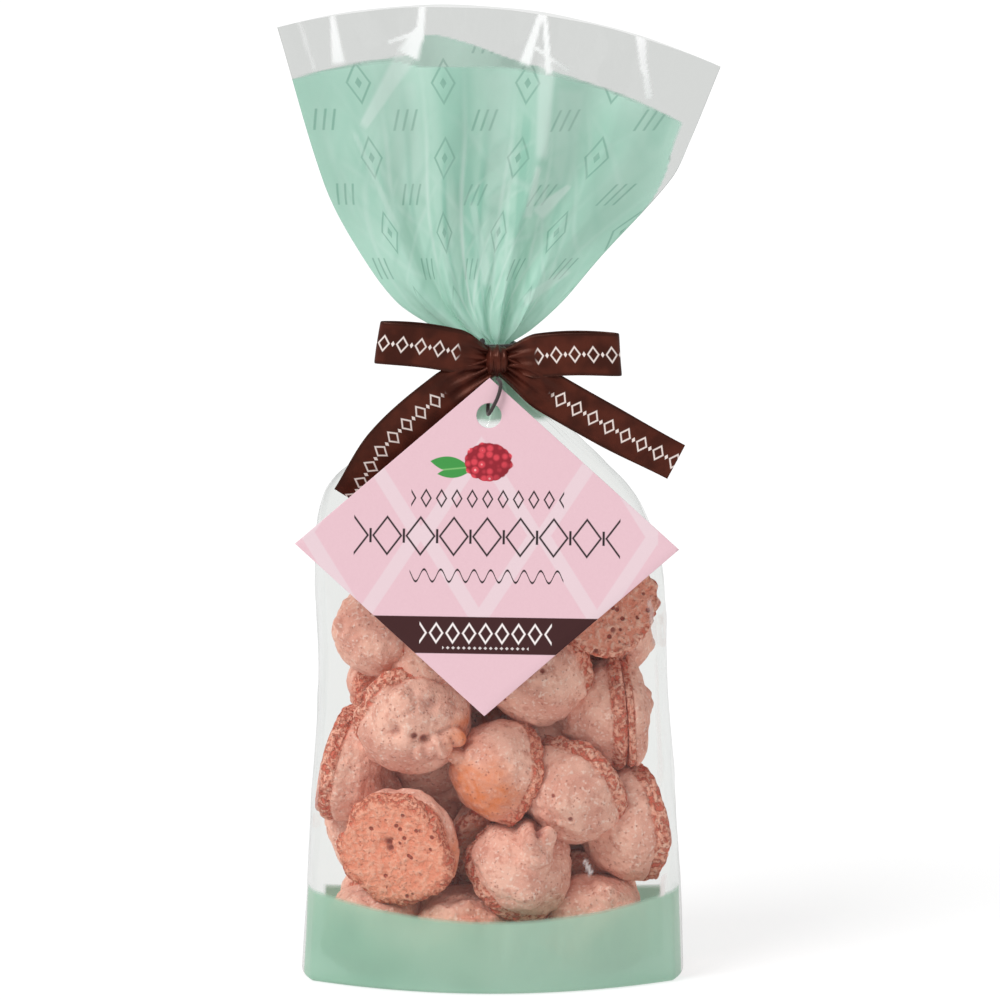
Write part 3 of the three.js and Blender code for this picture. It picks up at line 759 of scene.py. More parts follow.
# The same with a large blob of batter left on top.
KNOBBED = SECTION[:-5] + [
    (0.85, 0.57, 0.84, 0), (0.89, 0.4, 0.93, 0), (0.93, 0.33, 1.06, 0), (0.96, 0.3, 1.17, 0),
    (0.985, 0.17, 1.22, 0), (1, 0.02, 1.16, 0),
]
PEAK_SWAY = 2.5
UNEVEN = 0.022
# Each macaron: x, y, z of its middle; where its peak points, in degrees round from the front towards +X
# and degrees up; its radius, its height, how toasted it is, and 1 where it has a large blob on top.
MACARONS = [
    (-36, -7, 101.5, -60, 5, 14.5, 18, 0.0, 0), (-21, -15, 73.5, 18, -30, 17, 20, 0.0, 0),
    (-37.5, -1, 59.5, 78, -12, 16.3, 19, 0.0, 0), (-25, -14, 42, 160, 12, 17, 20, 0.7, 0),
    (-1.5, -15.5, 63, -48, 14, 14.7, 18, 0.4, 0), (20, -13, 53, -38, -28, 16.3, 20, 0.0, 0),
    (10, -16, 36, 32, 34, 15.5, 19, 0.0, 1), (34.5, -3, 43.5, -62, -4, 17, 20, 0.0, 0),
    (28.5, -2, 76.5, -85, -4, 16.3, 17, 0.0, 0), (41, -1.5, 76.5, 95, 4, 16, 8, 0.0, 0),
    (29, -5, 108, -165, -22, 16.3, 20, 0.1, 0), (10.5, -14, 88, -26, -24, 16.3, 20, 0.0, 0),
    (-33, -9, 17.5, 10, 70, 16, 20, 0.2, 0), (-8, -15, 17, 0, 60, 16, 20, 0.2, 0),
    (30, -11, 20, 20, 62, 16, 20, 0.0, 0), (-4, -9, 110, 20, 40, 15, 19, 0.0, 0),
    (-30, 14, 21, 190, 35, 16, 20, 0.0, 0), (1, 17, 21.5, 170, 40, 16, 20, 0.0, 0),
    (28, 13, 23, 170, 20, 15, 19, 0.3, 0), (-14, 15, 50, 25, -5, 16, 20, 0.0, 0),
    (19, 17, 49.5, 160, -10, 16, 20, 0.0, 0), (-29, 13, 82, 205, 15, 15.5, 20, 0.2, 0),
    (3, 17, 80, 178, -15, 16.3, 20, 0.0, 0), (-18, 13, 108, 200, 20, 15, 19, 0.0, 0),
    (14, 13, 106, 165, 10, 15, 19, 0.0, 0), (36.5, 13, 39, 110, -10, 15, 18, 0.0, 0),
    (31, 17, 77, 155, 10, 15.5, 18, 0.0, 0), (-38, 13, 39, 250, 0, 15, 18, 0.0, 0),
    (37, 11, 99, 105, 15, 14.5, 18, 0.0, 0), (0, 8, 40, 200, 20, 15, 18, 0.0, 0),
    (-3, 6, 94, 30, 10, 15, 18, 0.0, 0), (16, 0, 66, 10, 5, 15, 18, 0.0, 0),
    (-21, 3, 64, 340, 0, 15, 18, 0.0, 0), (-19, -9, 95, -20, 30, 15, 19, 0.0, 0),
]
# Marks on the side that shows: macaron, x, z, radius, and depth of a hole, or below 0 height of a lump.
MARKS = [
    (1, -28.2, 76.2, 2.3, 2.0), (1, -22.3, 74.6, 1.3, 2.2), (1, -19.4, 73.6, 1.5, 2.2),
    (1, -11.2, 72.8, 2.6, -3.0), (1, -15.0, 70.8, 3.0, -2.8), (1, -19.4, 69.0, 2.6, -1.8),
    (1, -17.2, 84.0, 2.4, 0.9), (1, -26.0, 84.5, 2.8, -1.2),
    (3, -29.9, 43.4, 1.3, 1.9), (3, -29.4, 41.2, 1.2, 1.8), (6, 14.2, 47.6, 5.2, -3.6),
    (6, 13.4, 47.6, 1.6, 2.6), (6, 9.0, 46.0, 2.4, -1.4), (4, -12.3, 68.7, 2.6, -2.8),
    (7, 31.0, 47.0, 2.6, 1.2), (7, 36.5, 52.0, 2.2, 1.1),
    (11, 14.0, 93.0, 0.8, 0.7), (11, 3.0, 84.0, 0.7, 0.7), (5, 22.0, 50.0, 0.8, 0.7),
    (5, 17.0, 57.0, 0.6, 0.5), (10, 34.0, 103.0, 0.8, 0.7), (10, 29.0, 97.5, 0.8, 0.7),
]
# Where the oven browned one: macaron, x, z, radius.
TOASTS = [(4, -4.5, 56.0, 13.0), (1, -7.0, 73.0, 7.0)]
FILM_GAP = 0.5


def chance(seed):
    """A number from 0 to 1 that is always the same for the same seed."""
    return np.modf(abs(np.sin(seed * 12.9898 + 4.1414)) * 43758.5453)[0]


def turn_to(bearing, up):
    """The rotation that tips the Z axis over to a bearing and a height angle by the shortest way."""
    b, u = np.radians(bearing), np.radians(up)
    aim = np.array([np.sin(b) * np.cos(u), -np.cos(b) * np.cos(u), np.sin(u)])
    axis = np.cross([0, 0, 1], aim)
    skew = np.array([[0, -axis[2], axis[1]], [axis[2], 0, -axis[0]], [-axis[1], axis[0], 0]])
    return np.eye(3) + skew + skew @ skew / (1 + aim[2])


def inside_film(points):
    """Points held just inside the film, by the same panel arcs that the film has."""
    x, y, z = points.T
    middle, half_width, half_depth = bag_section(z)
    crease_x, crease_y = half_width * (1 - SIDE_BOW), half_depth * CREASE_DEPTH
    limit_y = crease_y + (half_depth - crease_y) * (1 - np.clip((x - middle) / crease_x, -1, 1) ** 2)
    y = np.clip(y, FILM_GAP - limit_y, limit_y - FILM_GAP)
    limit_x = crease_x + (half_width - crease_x) * (1 - np.clip(y / crease_y, -1, 1) ** 2)
    x = np.clip(x, middle - limit_x + FILM_GAP, middle + limit_x - FILM_GAP)
    return points_at(x, y, np.maximum(z, 0.8))


def macaron(number, columns, rows):
    """The section carried round a circle. The circle is a little uneven; the foot is ruffled by coarse and
    fine noise; the dome has broad dents, a few wrinkles and a skin of fine bumps; the peak leans out of
    the middle. Marks press holes in and lumps out, by a bell curve of the distance, and paint shade into
    the holes and into a groove round each lump."""
    x, y, z, bearing, up, radius, height, toast, knob = MACARONS[number]
    section = KNOBBED if knob else SECTION
    place = np.linspace(0, 1, rows)[:, None]
    reach, rise, foot = (along(section, place, k) for k in (1, 2, 3))
    foot = np.clip(foot, 0, 1)
    turn = 2 * np.pi * np.arange(columns) / columns
    phase = 2 * np.pi * chance(number)
    uneven = 1 + UNEVEN * (np.sin(3 * turn + phase) + np.cos(5 * turn - phase))
    sway = PEAK_SWAY * soft_step(rise, 0.7, 1.1)
    r = radius * reach * uneven
    flat = points_at(r * np.cos(turn), r * np.sin(turn), height * (rise - 0.5))
    away = points_at(np.cos(turn) + 0 * r, np.sin(turn), 0)
    edge = soft_step(reach, 0.35, 0.9)
    ruffle = 0.9 * noise(flat, 3.4, number) + 0.55 * noise(flat, 1.5, number + 40)
    ruffle = foot * edge * (ruffle - 0.5 * crumpled(flat, 2.4, number + 20))
    dome = 1 - foot
    dent = 1.2 * noise(flat, 8.5, number + 80) + 0.7 * noise(flat, 3.8, number + 120)
    dent = dome * (dent + 0.3 * noise(flat, 1.7, number + 140) - 0.5 * crumpled(flat, 9.0, number + 150))
    lump = 0.7 * dome * soft_step(rise, 0.75, 1.05) * noise(flat, 1.9, number + 160)
    shift = away * (ruffle + dent * edge)[..., None]
    shift[..., 2] += dent * (1 - edge) + lump
    shift[..., 2] += foot * (1 - edge) * (0.4 * noise(flat, 2.2, number + 200) - 0.25)
    grid = flat + shift + sway[..., None] * np.array([np.cos(phase), np.sin(phase), 0])
    placed = grid.reshape(-1, 3) @ turn_to(bearing, up).T + np.array([x, y, z])
    placed = inside_film(placed).reshape(grid.shape)
    patchy = soft_step(noise(flat, 14.0, number + 240) + 0.5 * np.cos(turn - phase), 0.1, 0.7)
    toasted = toast * (dome * patchy + 0.8 * foot)
    hole = np.zeros(toasted.shape)
    seen = soft_step(placed[..., 1] - y, 4, -2)
    inwards = unit(np.array([x, y, z]) - placed)
    for mine, at_x, at_z, size, depth in MARKS:
        if mine == number:
            near = np.hypot(placed[..., 0] - at_x, placed[..., 2] - at_z) / size
            mark = np.exp(-(near**3)) * seen
            groove = 0.3 * np.exp(-(((near - 1.45) / 0.35) ** 2)) * seen * (depth < 0)
            placed = placed + inwards * (depth * (mark - groove))[..., None]
            # The hole layer is painted shade: in the holes, and in the groove round each lump.
            hole = np.maximum(hole, mark * (depth > 0) * (1.2 - 0.3 * size) + 1.1 * groove)
    for mine, at_x, at_z, size in TOASTS:
        if mine == number:
            near = np.hypot(placed[..., 0] - at_x, placed[..., 2] - at_z) / size
            near = near + 0.25 * noise(flat, 4.0, number + 280)
            toasted = np.maximum(toasted, soft_step(near, 1.3, 0.3) * seen)
    placed = inside_film(placed.reshape(-1, 3)).reshape(grid.shape)
    lace = soft_step(place, 0.27, 0.34) * soft_step(place, 0.53, 0.47) + 0 * turn
    return patch(
        placed, start=placed[0].mean(axis=0), end=placed[-1].mean(axis=0),
        foot=foot, toast=toasted, hole=hole, lace=lace,
    )


LEFT_ONES = [0, 1, 2, 3, 12]
MIDDLE_ONES = [4, 6, 11, 13, 15]
RIGHT_ONES = [5, 7, 8, 9, 10, 14]
heaps = {
    "macarons_left": [macaron(k, 144, 108) for k in LEFT_ONES],
    "macarons_middle": [macaron(k, 144, 108) for k in MIDDLE_ONES],
    "macarons_right": [macaron(k, 140, 104) for k in RIGHT_ONES],
    "macarons_behind": [macaron(k, 80, 60) for k in range(16, 34)],
}
print("macarons:", sum(map(len, heaps.values())))

# %% [markdown]
# ## Crust and crumb
# The dome is dry and matt, with cloudy patches and a fine skin. The foot is redder, with painted shade in
# the crevices of its torn crumb. The crumb comes from noise at two sizes. Pores come from scattered
# points: close to some of the points the surface sinks and is darkened with painted shade.

# %% The macarons' material
def crust_material():
    """Cloudy pink dome, salmon foot; lace is 1 on the torn side of the foot, whose crevices get painted shade
    in dark red.
    """
    material, tree, principled = finish("baked_crust")
    foot, toast, hole, lace = (layer(tree, name) for name in ("foot", "toast", "hole", "lace"))
    cloud, mottle, speck = grain(tree, 95, 3), grain(tree, 380, 3), grain(tree, 1000, 2)
    crumbs = grain(tree, 640, 4)
    torn = crumbs.step(0.5, 0.4).most(grain(tree, 1500, 2).step(0.45, 0.37) * 0.7) * lace
    pits = spots(tree, 340).step(0.26, 0.15) * grain(tree, 150, 1).step(0.44, 0.5) * (foot - lace)
    tiny = spots(tree, 900).step(0.3, 0.16) * grain(tree, 420, 1).step(0.5, 0.58)

    dome = coats(
        tree, tint(225, 160, 142),
        ((246, 190, 170), cloud.step(0.32, 0.62)), ((204, 132, 114), mottle.step(0.5, 0.7) * 0.65),
        ((255, 226, 212), speck.step(0.54, 0.7) * 0.6), ((226, 128, 80), toast * mottle.step(0.95, 0.3)),
    )
    crumb = coats(
        tree, tint(244, 166, 142),
        ((255, 194, 170), mottle.step(0.35, 0.65)), ((236, 124, 96), crumbs.step(0.6, 0.44) * 0.5),
        ((255, 216, 196), speck.step(0.54, 0.7) * 0.55), ((240, 140, 104), toast * 0.7),
    )
    # Painted shade: dark red in the foot's crevices and pores, and in the holes and grooves of the marks.
    colour = coats(
        tree, paint(tree, dome, crumb, foot),
        ((208, 84, 62), torn * 0.7), ((156, 60, 48), pits * 0.9), ((190, 106, 90), tiny * 0.5),
        ((140, 62, 54), hole.step(0.15, 0.8) * 0.85),
    )
    height = cloud * 0.3 + mottle * 0.9 + speck * 0.4 + crumbs * (foot * 1.6)
    height = height - torn * 0.9 - pits - tiny * 0.4
    dress(tree, principled, colour, relief(tree, height, 0.9, 0.8), Roughness=0.85, Specular_IOR_Level=0.2)
    return material


baked_crust = crust_material()
for name, heap in heaps.items():
    piece(name, heap, baked_crust, "bag")

# %% [markdown]
# ## The satin bow
# One ribbon goes round the neck, ties in a knot, and leaves two loops and two tails. A ribbon keeps its
# width except where the knot squeezes it, and there it folds lengthwise. Cloth simulation of a knot is
# slow and never lands in the same place, so each strap is carried along a known path, with the pleats
# and wrinkles added as a height over its own width and length.

# %% Straps of ribbon
RIBBON_WIDTH = 12.0
RIBBON_PINCH = 6.5
RIBBON_THIN = 0.35
KNOT = np.array([1.2, -10.4, 178.8])
KNOT_HALF = (3.2, 4.0, 4.3)
BAND_LOW, BAND_HIGH, BAND_RADIUS = 174.5, 181.4, 5.9


def outward(part):
    """The patch with its faces turned out: a closed skin that faces in has a volume below 0."""
    p, q, t = part["points"], part["quads"], part["triangles"]
    corners = np.concatenate([q[:, [0, 1, 2]], q[:, [0, 2, 3]], t])
    a, b, c = (p[corners[:, k]] for k in range(3))
    if np.einsum("ij,ij->i", a, np.cross(b, c)).sum() < 0:
        part["quads"], part["triangles"] = q[:, ::-1], t[:, ::-1]
    return part


def strap(middle, across, width, tucked, seed, start=None):
    """A ribbon round a path. Its section is a flat ring: out along one side, back along the other. Where
    it is tucked, from 0 to 1, three lengthwise pleats stand up as a cosine over its width; wrinkles are
    noise stretched across the ribbon, strongest near the knot."""
    ahead = np.gradient(middle, axis=0)
    normal = unit(np.cross(ahead, across))
    run = np.concatenate([[0], np.cumsum(np.linalg.norm(np.diff(middle, axis=0), axis=1))])[:, None]
    half = 26
    w = np.cos(np.linspace(0, np.pi, half)) * 0.35 + np.linspace(1, -1, half) * 0.65
    w = np.concatenate([w, w[::-1]])
    face = np.repeat([1, -1], half)
    rounded = np.sqrt(np.clip(1 - np.abs(w) ** 24, 0, 1))
    tucked = tucked[:, None]
    pleat = tucked * 0.75 * np.cos(3 * np.pi * w + seed + run * 0.08)
    cloth = points_at(run, w * width[:, None] / 2 * 0.8, seed * 10.0)
    wrinkle = (0.12 + 0.85 * tucked) * noise(cloth * [0.9, 0.45, 1], 3.4, seed)
    wrinkle = wrinkle + 0.25 * noise(cloth * [0.35, 0.5, 1], 4.5, seed + 9)
    lift = (pleat + wrinkle) + face * rounded * RIBBON_THIN / 2
    side = w * width[:, None] / 2
    grid = middle[:, None] + across[:, None] * side[..., None] + normal[:, None] * lift[..., None]
    return outward(patch(
        grid, start=grid[0].mean(axis=0), end=grid[-1].mean(axis=0),
        run=run + 0 * w, side=side, tucked=tucked + 0 * w,
    ))


# %% [markdown]
# ## Loops and tails
# A loop leaves the knot, turns over at its fold and comes back behind itself: seen from above it is a
# drop. A tail hangs in a soft curve and is cut off at a slant.

# %% Loops, tails, knot and band
# Each loop: where its fold lies from the knot, and half of how far it opens.
LOOPS = [((-33.5, -2.4, 5.6), 3.6), ((34.4, -2.4, 2.1), 3.8)]
LOOP_START = 1.5
# Each tail: the points its middle passes from the knot, its turn in degrees, its end width.
TAILS = [
    ([(0, 0, 0), (-13.5, -2.4, -8), (-31, -4.2, -23), (-41, -5.6, -38.5)], -12, 11.6),
    ([(0, -1, 0), (13.5, -3, -8), (34, -4.2, -19.5), (50.3, -4.8, -28)], 0, 10.8),
]


def route(points, count):
    """Evenly placed points on a smooth curve through the given ones, by the distance between them."""
    points = np.array(points, float)
    gone = np.concatenate([[0], np.cumsum(np.linalg.norm(np.diff(points, axis=0), axis=1))])
    rows = np.column_stack([gone, points])
    place = np.linspace(0, gone[-1], count)
    return np.stack([along(rows, place, k) for k in (1, 2, 3)], -1)


def bow_loop(fold, opened, seed):
    """away = (1 - cos(turn)) / 2 goes out to the fold and back; the two layers part by the sine."""
    share = np.linspace(0.015, 0.985, 150)
    turn = 2 * np.pi * share
    away = (1 - np.cos(turn)) / 2
    reach = np.array([fold[0], 0, fold[2]])
    length = np.linalg.norm(reach)
    out = reach / length
    middle = KNOT + out * (LOOP_START + (length - LOOP_START) * away)[:, None]
    middle[:, 1] += fold[1] * away - opened * np.sin(turn) * np.sqrt(away)
    middle[:, 2] += 1.2 * np.sin(np.pi * away)
    across = np.array([-out[2], 0, out[0]]) * np.sign(fold[0])
    spread = soft_step(away, 0, 0.3)
    width = RIBBON_PINCH + (RIBBON_WIDTH - RIBBON_PINCH) * spread
    return strap(middle, np.tile(across, (len(share), 1)), width, 1 - soft_step(away, 0, 0.4), seed)


def bow_tail(points, turned, end, seed):
    """The tail's width grows from the pinch; its last millimetres are cut at a slant."""
    middle = route(np.array(points, float) + KNOT, 130)
    share = np.linspace(0, 1, 130)
    ahead = unit(np.gradient(middle, axis=0))
    side = unit(np.cross(np.array([0, -1.0, 0]), ahead))
    angle = np.radians(turned * share)[:, None]
    across = side * np.cos(angle) + np.cross(ahead, side) * np.sin(angle)
    width = RIBBON_PINCH + (RIBBON_WIDTH - RIBBON_PINCH) * soft_step(share, 0, 0.3)
    width = width + (end - width) * soft_step(share, 0.6, 1)
    return strap(middle, across, width, 1 - soft_step(share, 0.02, 0.42), seed)


def knot_wrap():
    """The knot is a barrel lying across the ribbon, its ends drawn in, with a few lengthwise folds."""
    w = np.linspace(-1, 1, 48)[:, None]
    turn = -2 * np.pi * np.arange(72) / 72
    round_off = (1 - np.abs(w) ** 3.2) ** 0.42
    uneven = 0.05 * noise(points_at(w * 4, np.cos(turn), np.sin(turn)), 0.5, 5)
    crease = 1 + 0.07 * np.cos(9 * w + 1.2 * np.sin(turn)) + uneven
    grid = KNOT + points_at(
        KNOT_HALF[0] * w,
        KNOT_HALF[1] * round_off * crease * np.sin(turn),
        KNOT_HALF[2] * round_off * crease * np.cos(turn),
    )
    return outward(patch(grid, start=grid[0].mean(axis=0), end=grid[-1].mean(axis=0), run=0 * turn + 0 * w,
                         side=3 + 0 * w, tucked=1))


def neck_band():
    """A flat ring of ribbon drawn tight round the pleated neck, bulging a little between its edges."""
    turn = 2 * np.pi * np.arange(160) / 160
    place = np.linspace(0, 1, 22)
    out = np.concatenate([0.4 + 0.45 * np.sin(np.pi * place), np.zeros(22)])[:, None]
    rise = (BAND_HIGH - BAND_LOW) * place
    z = np.concatenate([BAND_LOW + rise, BAND_HIGH - rise])[:, None]
    pleat = 0.16 * np.cos(11 * turn) + 0.12 * np.cos(17 * turn + z)
    radius = BAND_RADIUS + out * (1 + pleat)
    grid = points_at(radius * np.cos(turn), radius * np.sin(turn), z)
    side = z - (BAND_LOW + BAND_HIGH) / 2
    return outward(patch(grid, rows_meet=True, run=turn * 6 + 0 * z, side=side, tucked=0.6))


# %% [markdown]
# ## Satin
# Satin is dark brown here and its threads run lengthwise, so it is glossy along the ribbon and duller
# across it. A fine weave is a ripple on the ribbon's own length and width; the woven edges are a little
# raised. A row of small pale lozenges runs down the middle.

# %% Satin material
# Distance in mm from one pale lozenge to the next.
MARK_STEP = 5.2


def satin_material():
    """Dark brown, darker at its woven edges, with the lozenges where the ribbon isn't tucked."""
    material, tree, principled = finish("brown_satin")
    run, side, tucked = (layer(tree, name) for name in ("run", "side", "tucked"))
    cloud = grain(tree, 160, 2)
    edge = abs(side).step(4.9, 5.6)
    mark = lozenge(run.cell(MARK_STEP), side, 1.5, 2.1)
    dot = lozenge((run + MARK_STEP / 2).cell(MARK_STEP), side, 0.5, 0.8)
    pale = mark.line(0.34, 0.12).most(dot.step(0.15, -0.1))
    shown = tucked.step(0.25, 0.1)
    colour = coats(
        tree, tint(48, 17, 12),
        ((72, 30, 21), cloud.step(0.35, 0.7)), ((30, 11, 8), edge * 0.7), ((226, 214, 208), pale * shown),
    )
    weave = (run * 15.0).wave() * 0.25 + (side * 22.0 + run * 9.0).wave() * 0.4
    height = weave * 0.3 + edge * 0.8 + grain(tree, 420, 2) * 0.6
    dress(tree, principled, colour, relief(tree, height, 0.12, 0.6), Roughness=0.33, Anisotropic=0.5,
          Specular_IOR_Level=0.45, Specular_Tint=(0.75, 0.36, 0.27, 1))
    return material


bow = [bow_loop(*LOOPS[0], 3), bow_loop(*LOOPS[1], 4), bow_tail(*TAILS[0], 5), bow_tail(*TAILS[1], 6)]
piece("satin_bow", [neck_band(), knot_wrap(), *bow], satin_material(), "ribbon_bow")

# %% [markdown]
# ## The card tag
# The tag is a lozenge of thin card with a punched hole, leaning back against the bag. Its surface is
# worked out in rings from the hole to the outline, on the front, round the cut edge and back behind, so
# that the hole and the straight sides are both exact.

# %% Tag surface
TAG_WIDTH, TAG_LENGTH, TAG_THICK = 107.3, 94.6, 0.6
TAG_ROLL, TAG_LEAN = np.radians(0.9), np.radians(12.2)
TAG_TOP = np.array([-0.9, -15.2, 174.6])
EYELET_RADIUS, EYELET_DROP = 3.5, 10.6
EDGE_ROUND = 0.12


def tag_outline(inset, turns):
    """Distance from the hole's middle to the lozenge, drawn in by an inset, in each direction: the
    nearest of its four straight sides."""
    slope = np.array([TAG_LENGTH, TAG_WIDTH]) / np.hypot(TAG_LENGTH, TAG_WIDTH)
    half = TAG_WIDTH / 2 * slope[0]
    centre_up = TAG_LENGTH / 2 - EYELET_DROP
    reach = []
    for right, up in ((1, 1), (-1, 1), (-1, -1), (1, -1)):
        across = right * slope[0] * np.cos(turns) + up * slope[1] * np.sin(turns)
        gap = half - inset - up * slope[1] * centre_up
        reach.append(np.where(across > 1e-6, gap / np.maximum(across, 1e-6), 1e9))
    return np.min(reach, axis=0)


def tag_surface():
    """Rows go from the hole to the outline over the front, round the edge, and back behind."""
    drop = EYELET_DROP - TAG_LENGTH / 2
    ups = [EYELET_DROP, drop, EYELET_DROP - TAG_LENGTH, drop]
    corners = np.arctan2(ups, [0, -TAG_WIDTH / 2, 0, TAG_WIDTH / 2])
    corners = np.mod(corners - corners[0], 2 * np.pi) + corners[0]
    ends = np.append(corners, corners[0] + 2 * np.pi)
    turns = np.concatenate([np.linspace(ends[k], ends[k + 1], 60, endpoint=False) for k in range(4)])
    share = np.linspace(0, 1, 34) ** 1.3
    lips = [(EDGE_ROUND, 0), (0.3 * EDGE_ROUND, 0.3 * EDGE_ROUND), (0, EDGE_ROUND)]
    rows = [(part, EDGE_ROUND, 0.0) for part in share]
    rows += [(1.0, inset, sunk) for inset, sunk in lips[1:]]
    rows += [(1.0, inset, TAG_THICK - sunk) for inset, sunk in lips[::-1]]
    rows += [(part, EDGE_ROUND, TAG_THICK) for part in share[-2::-1]]
    rows += [(0.0, inset, TAG_THICK - sunk) for inset, sunk in lips[1:]]
    rows += [(0.0, inset, sunk) for inset, sunk in lips[:0:-1]]
    part, inset, sunk = (np.array(column)[:, None] for column in zip(*rows))
    far = np.concatenate([tag_outline(amount, turns) for amount in inset])
    near = EYELET_RADIUS + inset
    reach = near + (far.reshape(len(rows), -1) - near) * part
    right = reach * np.cos(turns)
    down = EYELET_DROP - reach * np.sin(turns)
    bent = 0.5 * np.sin(np.pi * down / TAG_LENGTH) * (1 - (right / 60) ** 2)
    out = TAG_THICK - sunk + 0 * right
    x = right * np.cos(TAG_ROLL) - down * np.sin(TAG_ROLL)
    fallen = right * np.sin(TAG_ROLL) + down * np.cos(TAG_ROLL)
    y = -fallen * np.sin(TAG_LEAN) - (out + 0.3 * bent) * np.cos(TAG_LEAN)
    z = -fallen * np.cos(TAG_LEAN) + (out + 0.3 * bent) * np.sin(TAG_LEAN)
    front = (sunk < TAG_THICK / 2) * 1.0
    grid = TAG_TOP + points_at(x, y, z)
    return outward(patch(grid, rows_meet=True, right=right, down=down, front=front + 0 * right))


# %% [markdown]
# ## The tag's print
# Every mark is a rule on two numbers, millimetres right of the middle line and millimetres down from the
# top corner. A berry with a leaf stands over three rows of ornament and a dark band; large pale lozenges
# lie behind them. The marks are plain shapes, as strong and as large as print on such a tag.

# %% Card material
BERRY_DOWN = 23.6


def leaf(right, down, tip_right, tip_down, root_right, root_down, plump):
    """1 inside a leaf from root to tip: its half width is plump times the share left on both sides."""
    length = float(np.hypot(tip_right - root_right, tip_down - root_down))
    ahead = ((tip_right - root_right) / length, (tip_down - root_down) / length)
    run = (right - root_right) * ahead[0] + (down - root_down) * ahead[1]
    off = abs((right - root_right) * -ahead[1] + (down - root_down) * ahead[0])
    share = run / length
    bulge = share * (share * -1 + 1) * (4 * plump)
    return (off - bulge).step(0.12, -0.12)


def berry_print(tree, under, right, down):
    """A berry of small round drupelets with light spots, and two leaves with a pale midrib."""
    together = tree.nodes.new("ShaderNodeCombineXYZ")
    tree.links.new(right.socket, together.inputs[0])
    tree.links.new((down - BERRY_DOWN).socket, together.inputs[1])
    cells = tree.nodes.new("ShaderNodeTexVoronoi")
    cells.inputs["Scale"].default_value = 0.46
    cells.inputs["Randomness"].default_value = 0.55
    tree.links.new(together.outputs[0], cells.inputs["Vector"])
    distance = Field(tree, cells.outputs["Distance"])
    x, y = right / 7.0, (down - BERRY_DOWN) / 5.7
    body = (x * x + y * y).maths("SQRT")
    body = (body + distance * 0.16).step(1.05, 1.0)
    red = paint(tree, tint(206, 60, 74), tint(138, 22, 38), distance.step(0.3, 0.62))
    red = paint(tree, red, tint(246, 176, 178), distance.step(0.22, 0.1) * 0.8)
    red = paint(tree, red, tint(122, 18, 34), (x + y).step(0.4, 1.4) * 0.6)
    green = leaf(right, down, -16.2, 23.6, -5.2, 25.2, 2.1)
    green = green.most(leaf(right, down, -14.2, 27.2, -5.0, 26.2, 1.5))
    vein = (down - 24.6 + right * 0.11).line(0.3, 0.25)
    leafy = paint(tree, tint(58, 140, 64), tint(150, 205, 130), vein * 0.7)
    colour = paint(tree, under, leafy, green)
    return paint(tree, colour, red, body)


def within(field, low, high):
    """1 where the field lies between two values."""
    blur = 0.12
    return field.step(low - blur, low + blur) * field.step(high + blur, high - blur)


def card_material():
    """Pink card with the print on its front, from the pale lozenges up to the band and its marks."""
    material, tree, principled = finish("printed_card")
    right, down, front = (layer(tree, name) for name in ("right", "down", "front"))
    pulp = grain(tree, 1500, 3)
    pink = paint(tree, tint(214, 177, 186), tint(219, 184, 192), pulp)
    pale = lozenge((right + 2).cell(33), down - 44, 15.5, 24).line(0.3, 0.02)
    pale = pale * abs(right + 2).step(50, 49.5)
    colour = paint(tree, pink, tint(218, 199, 204), pale * 0.7)
    colour = berry_print(tree, colour, right, down)
    small = lozenge(right.cell(4.3), down - 34, 1.35, 2.3).line(0.36, 0.1) * abs(right).step(21.4, 21.3)
    large = lozenge(right.cell(9.3), down - 44.6, 3.9, 5.2).line(0.17, 0.05) * abs(right).step(37.3, 37.1)
    bars = (right + 4.65).cell(9.3).line(0.66, 0.12) * within(down, 42.6, 46.6)
    large = large.most(bars * abs(right).step(35, 34.9))
    wave = (down - 55.6 + (right * 1.35).wave() * 1.7).line(0.62, 0.16) * abs(right).step(21.6, 21.4)
    ink = small.most(large).most(wave)
    colour = paint(tree, colour, tint(32, 22, 24), ink)
    band = within(down, 67.0, 77.3)
    colour = paint(tree, colour, tint(56, 19, 20), band)
    row = lozenge(right.cell(4.6), down - 71.6, 1.75, 2.6).line(0.34, 0.1) * abs(right).step(18.5, 18.4)
    fine = lozenge(right.cell(1.5), down - 75.7, 0.5, 0.45).step(0.2, -0.2) * abs(right).step(12.1, 12.0)
    colour = paint(tree, colour, tint(238, 230, 228), row.most(fine * 0.75) * 0.95)
    colour = paint(tree, pink, colour, front)
    dress(tree, principled, colour, relief(tree, pulp, 0.05, 0.5), Roughness=0.6, Specular_IOR_Level=0.3)
    return material


piece("card_tag", [tag_surface()], card_material(), "tag")

# %% [markdown]
# ## The elastic cord
# A thin braided cord is wound once round the neck and knotted, and a loop of it goes through the tag's
# hole. Its route is the one that the solid follows. A braid is two sets of ridges that wind round the
# cord in opposite directions.

# %% Cord
CORD_RADIUS = 0.55
TIE_HEIGHT, TIE_RADIUS = 182.4, 6.4
TIE_KNOT, TIE_KNOT_HALF = np.array([-3, -6.6, 183.2]), (0.9, 0.9, 1.7)
TAG_CORD = [
    (1.3, -12.2, 173.9), (1.9, -14.8, 173.7), (2.2, -17.1, 172.9), (1.9, -18.1, 171.2),
    (1.2, -18.6, 169.2), (0, -19.1, 166.8), (-1, -18.8, 165.1), (-1.4, -16.9, 164.8),
    (-1.3, -14.8, 167.2), (-0.9, -12.7, 170.8), (-0.6, -10.8, 172.6),
]


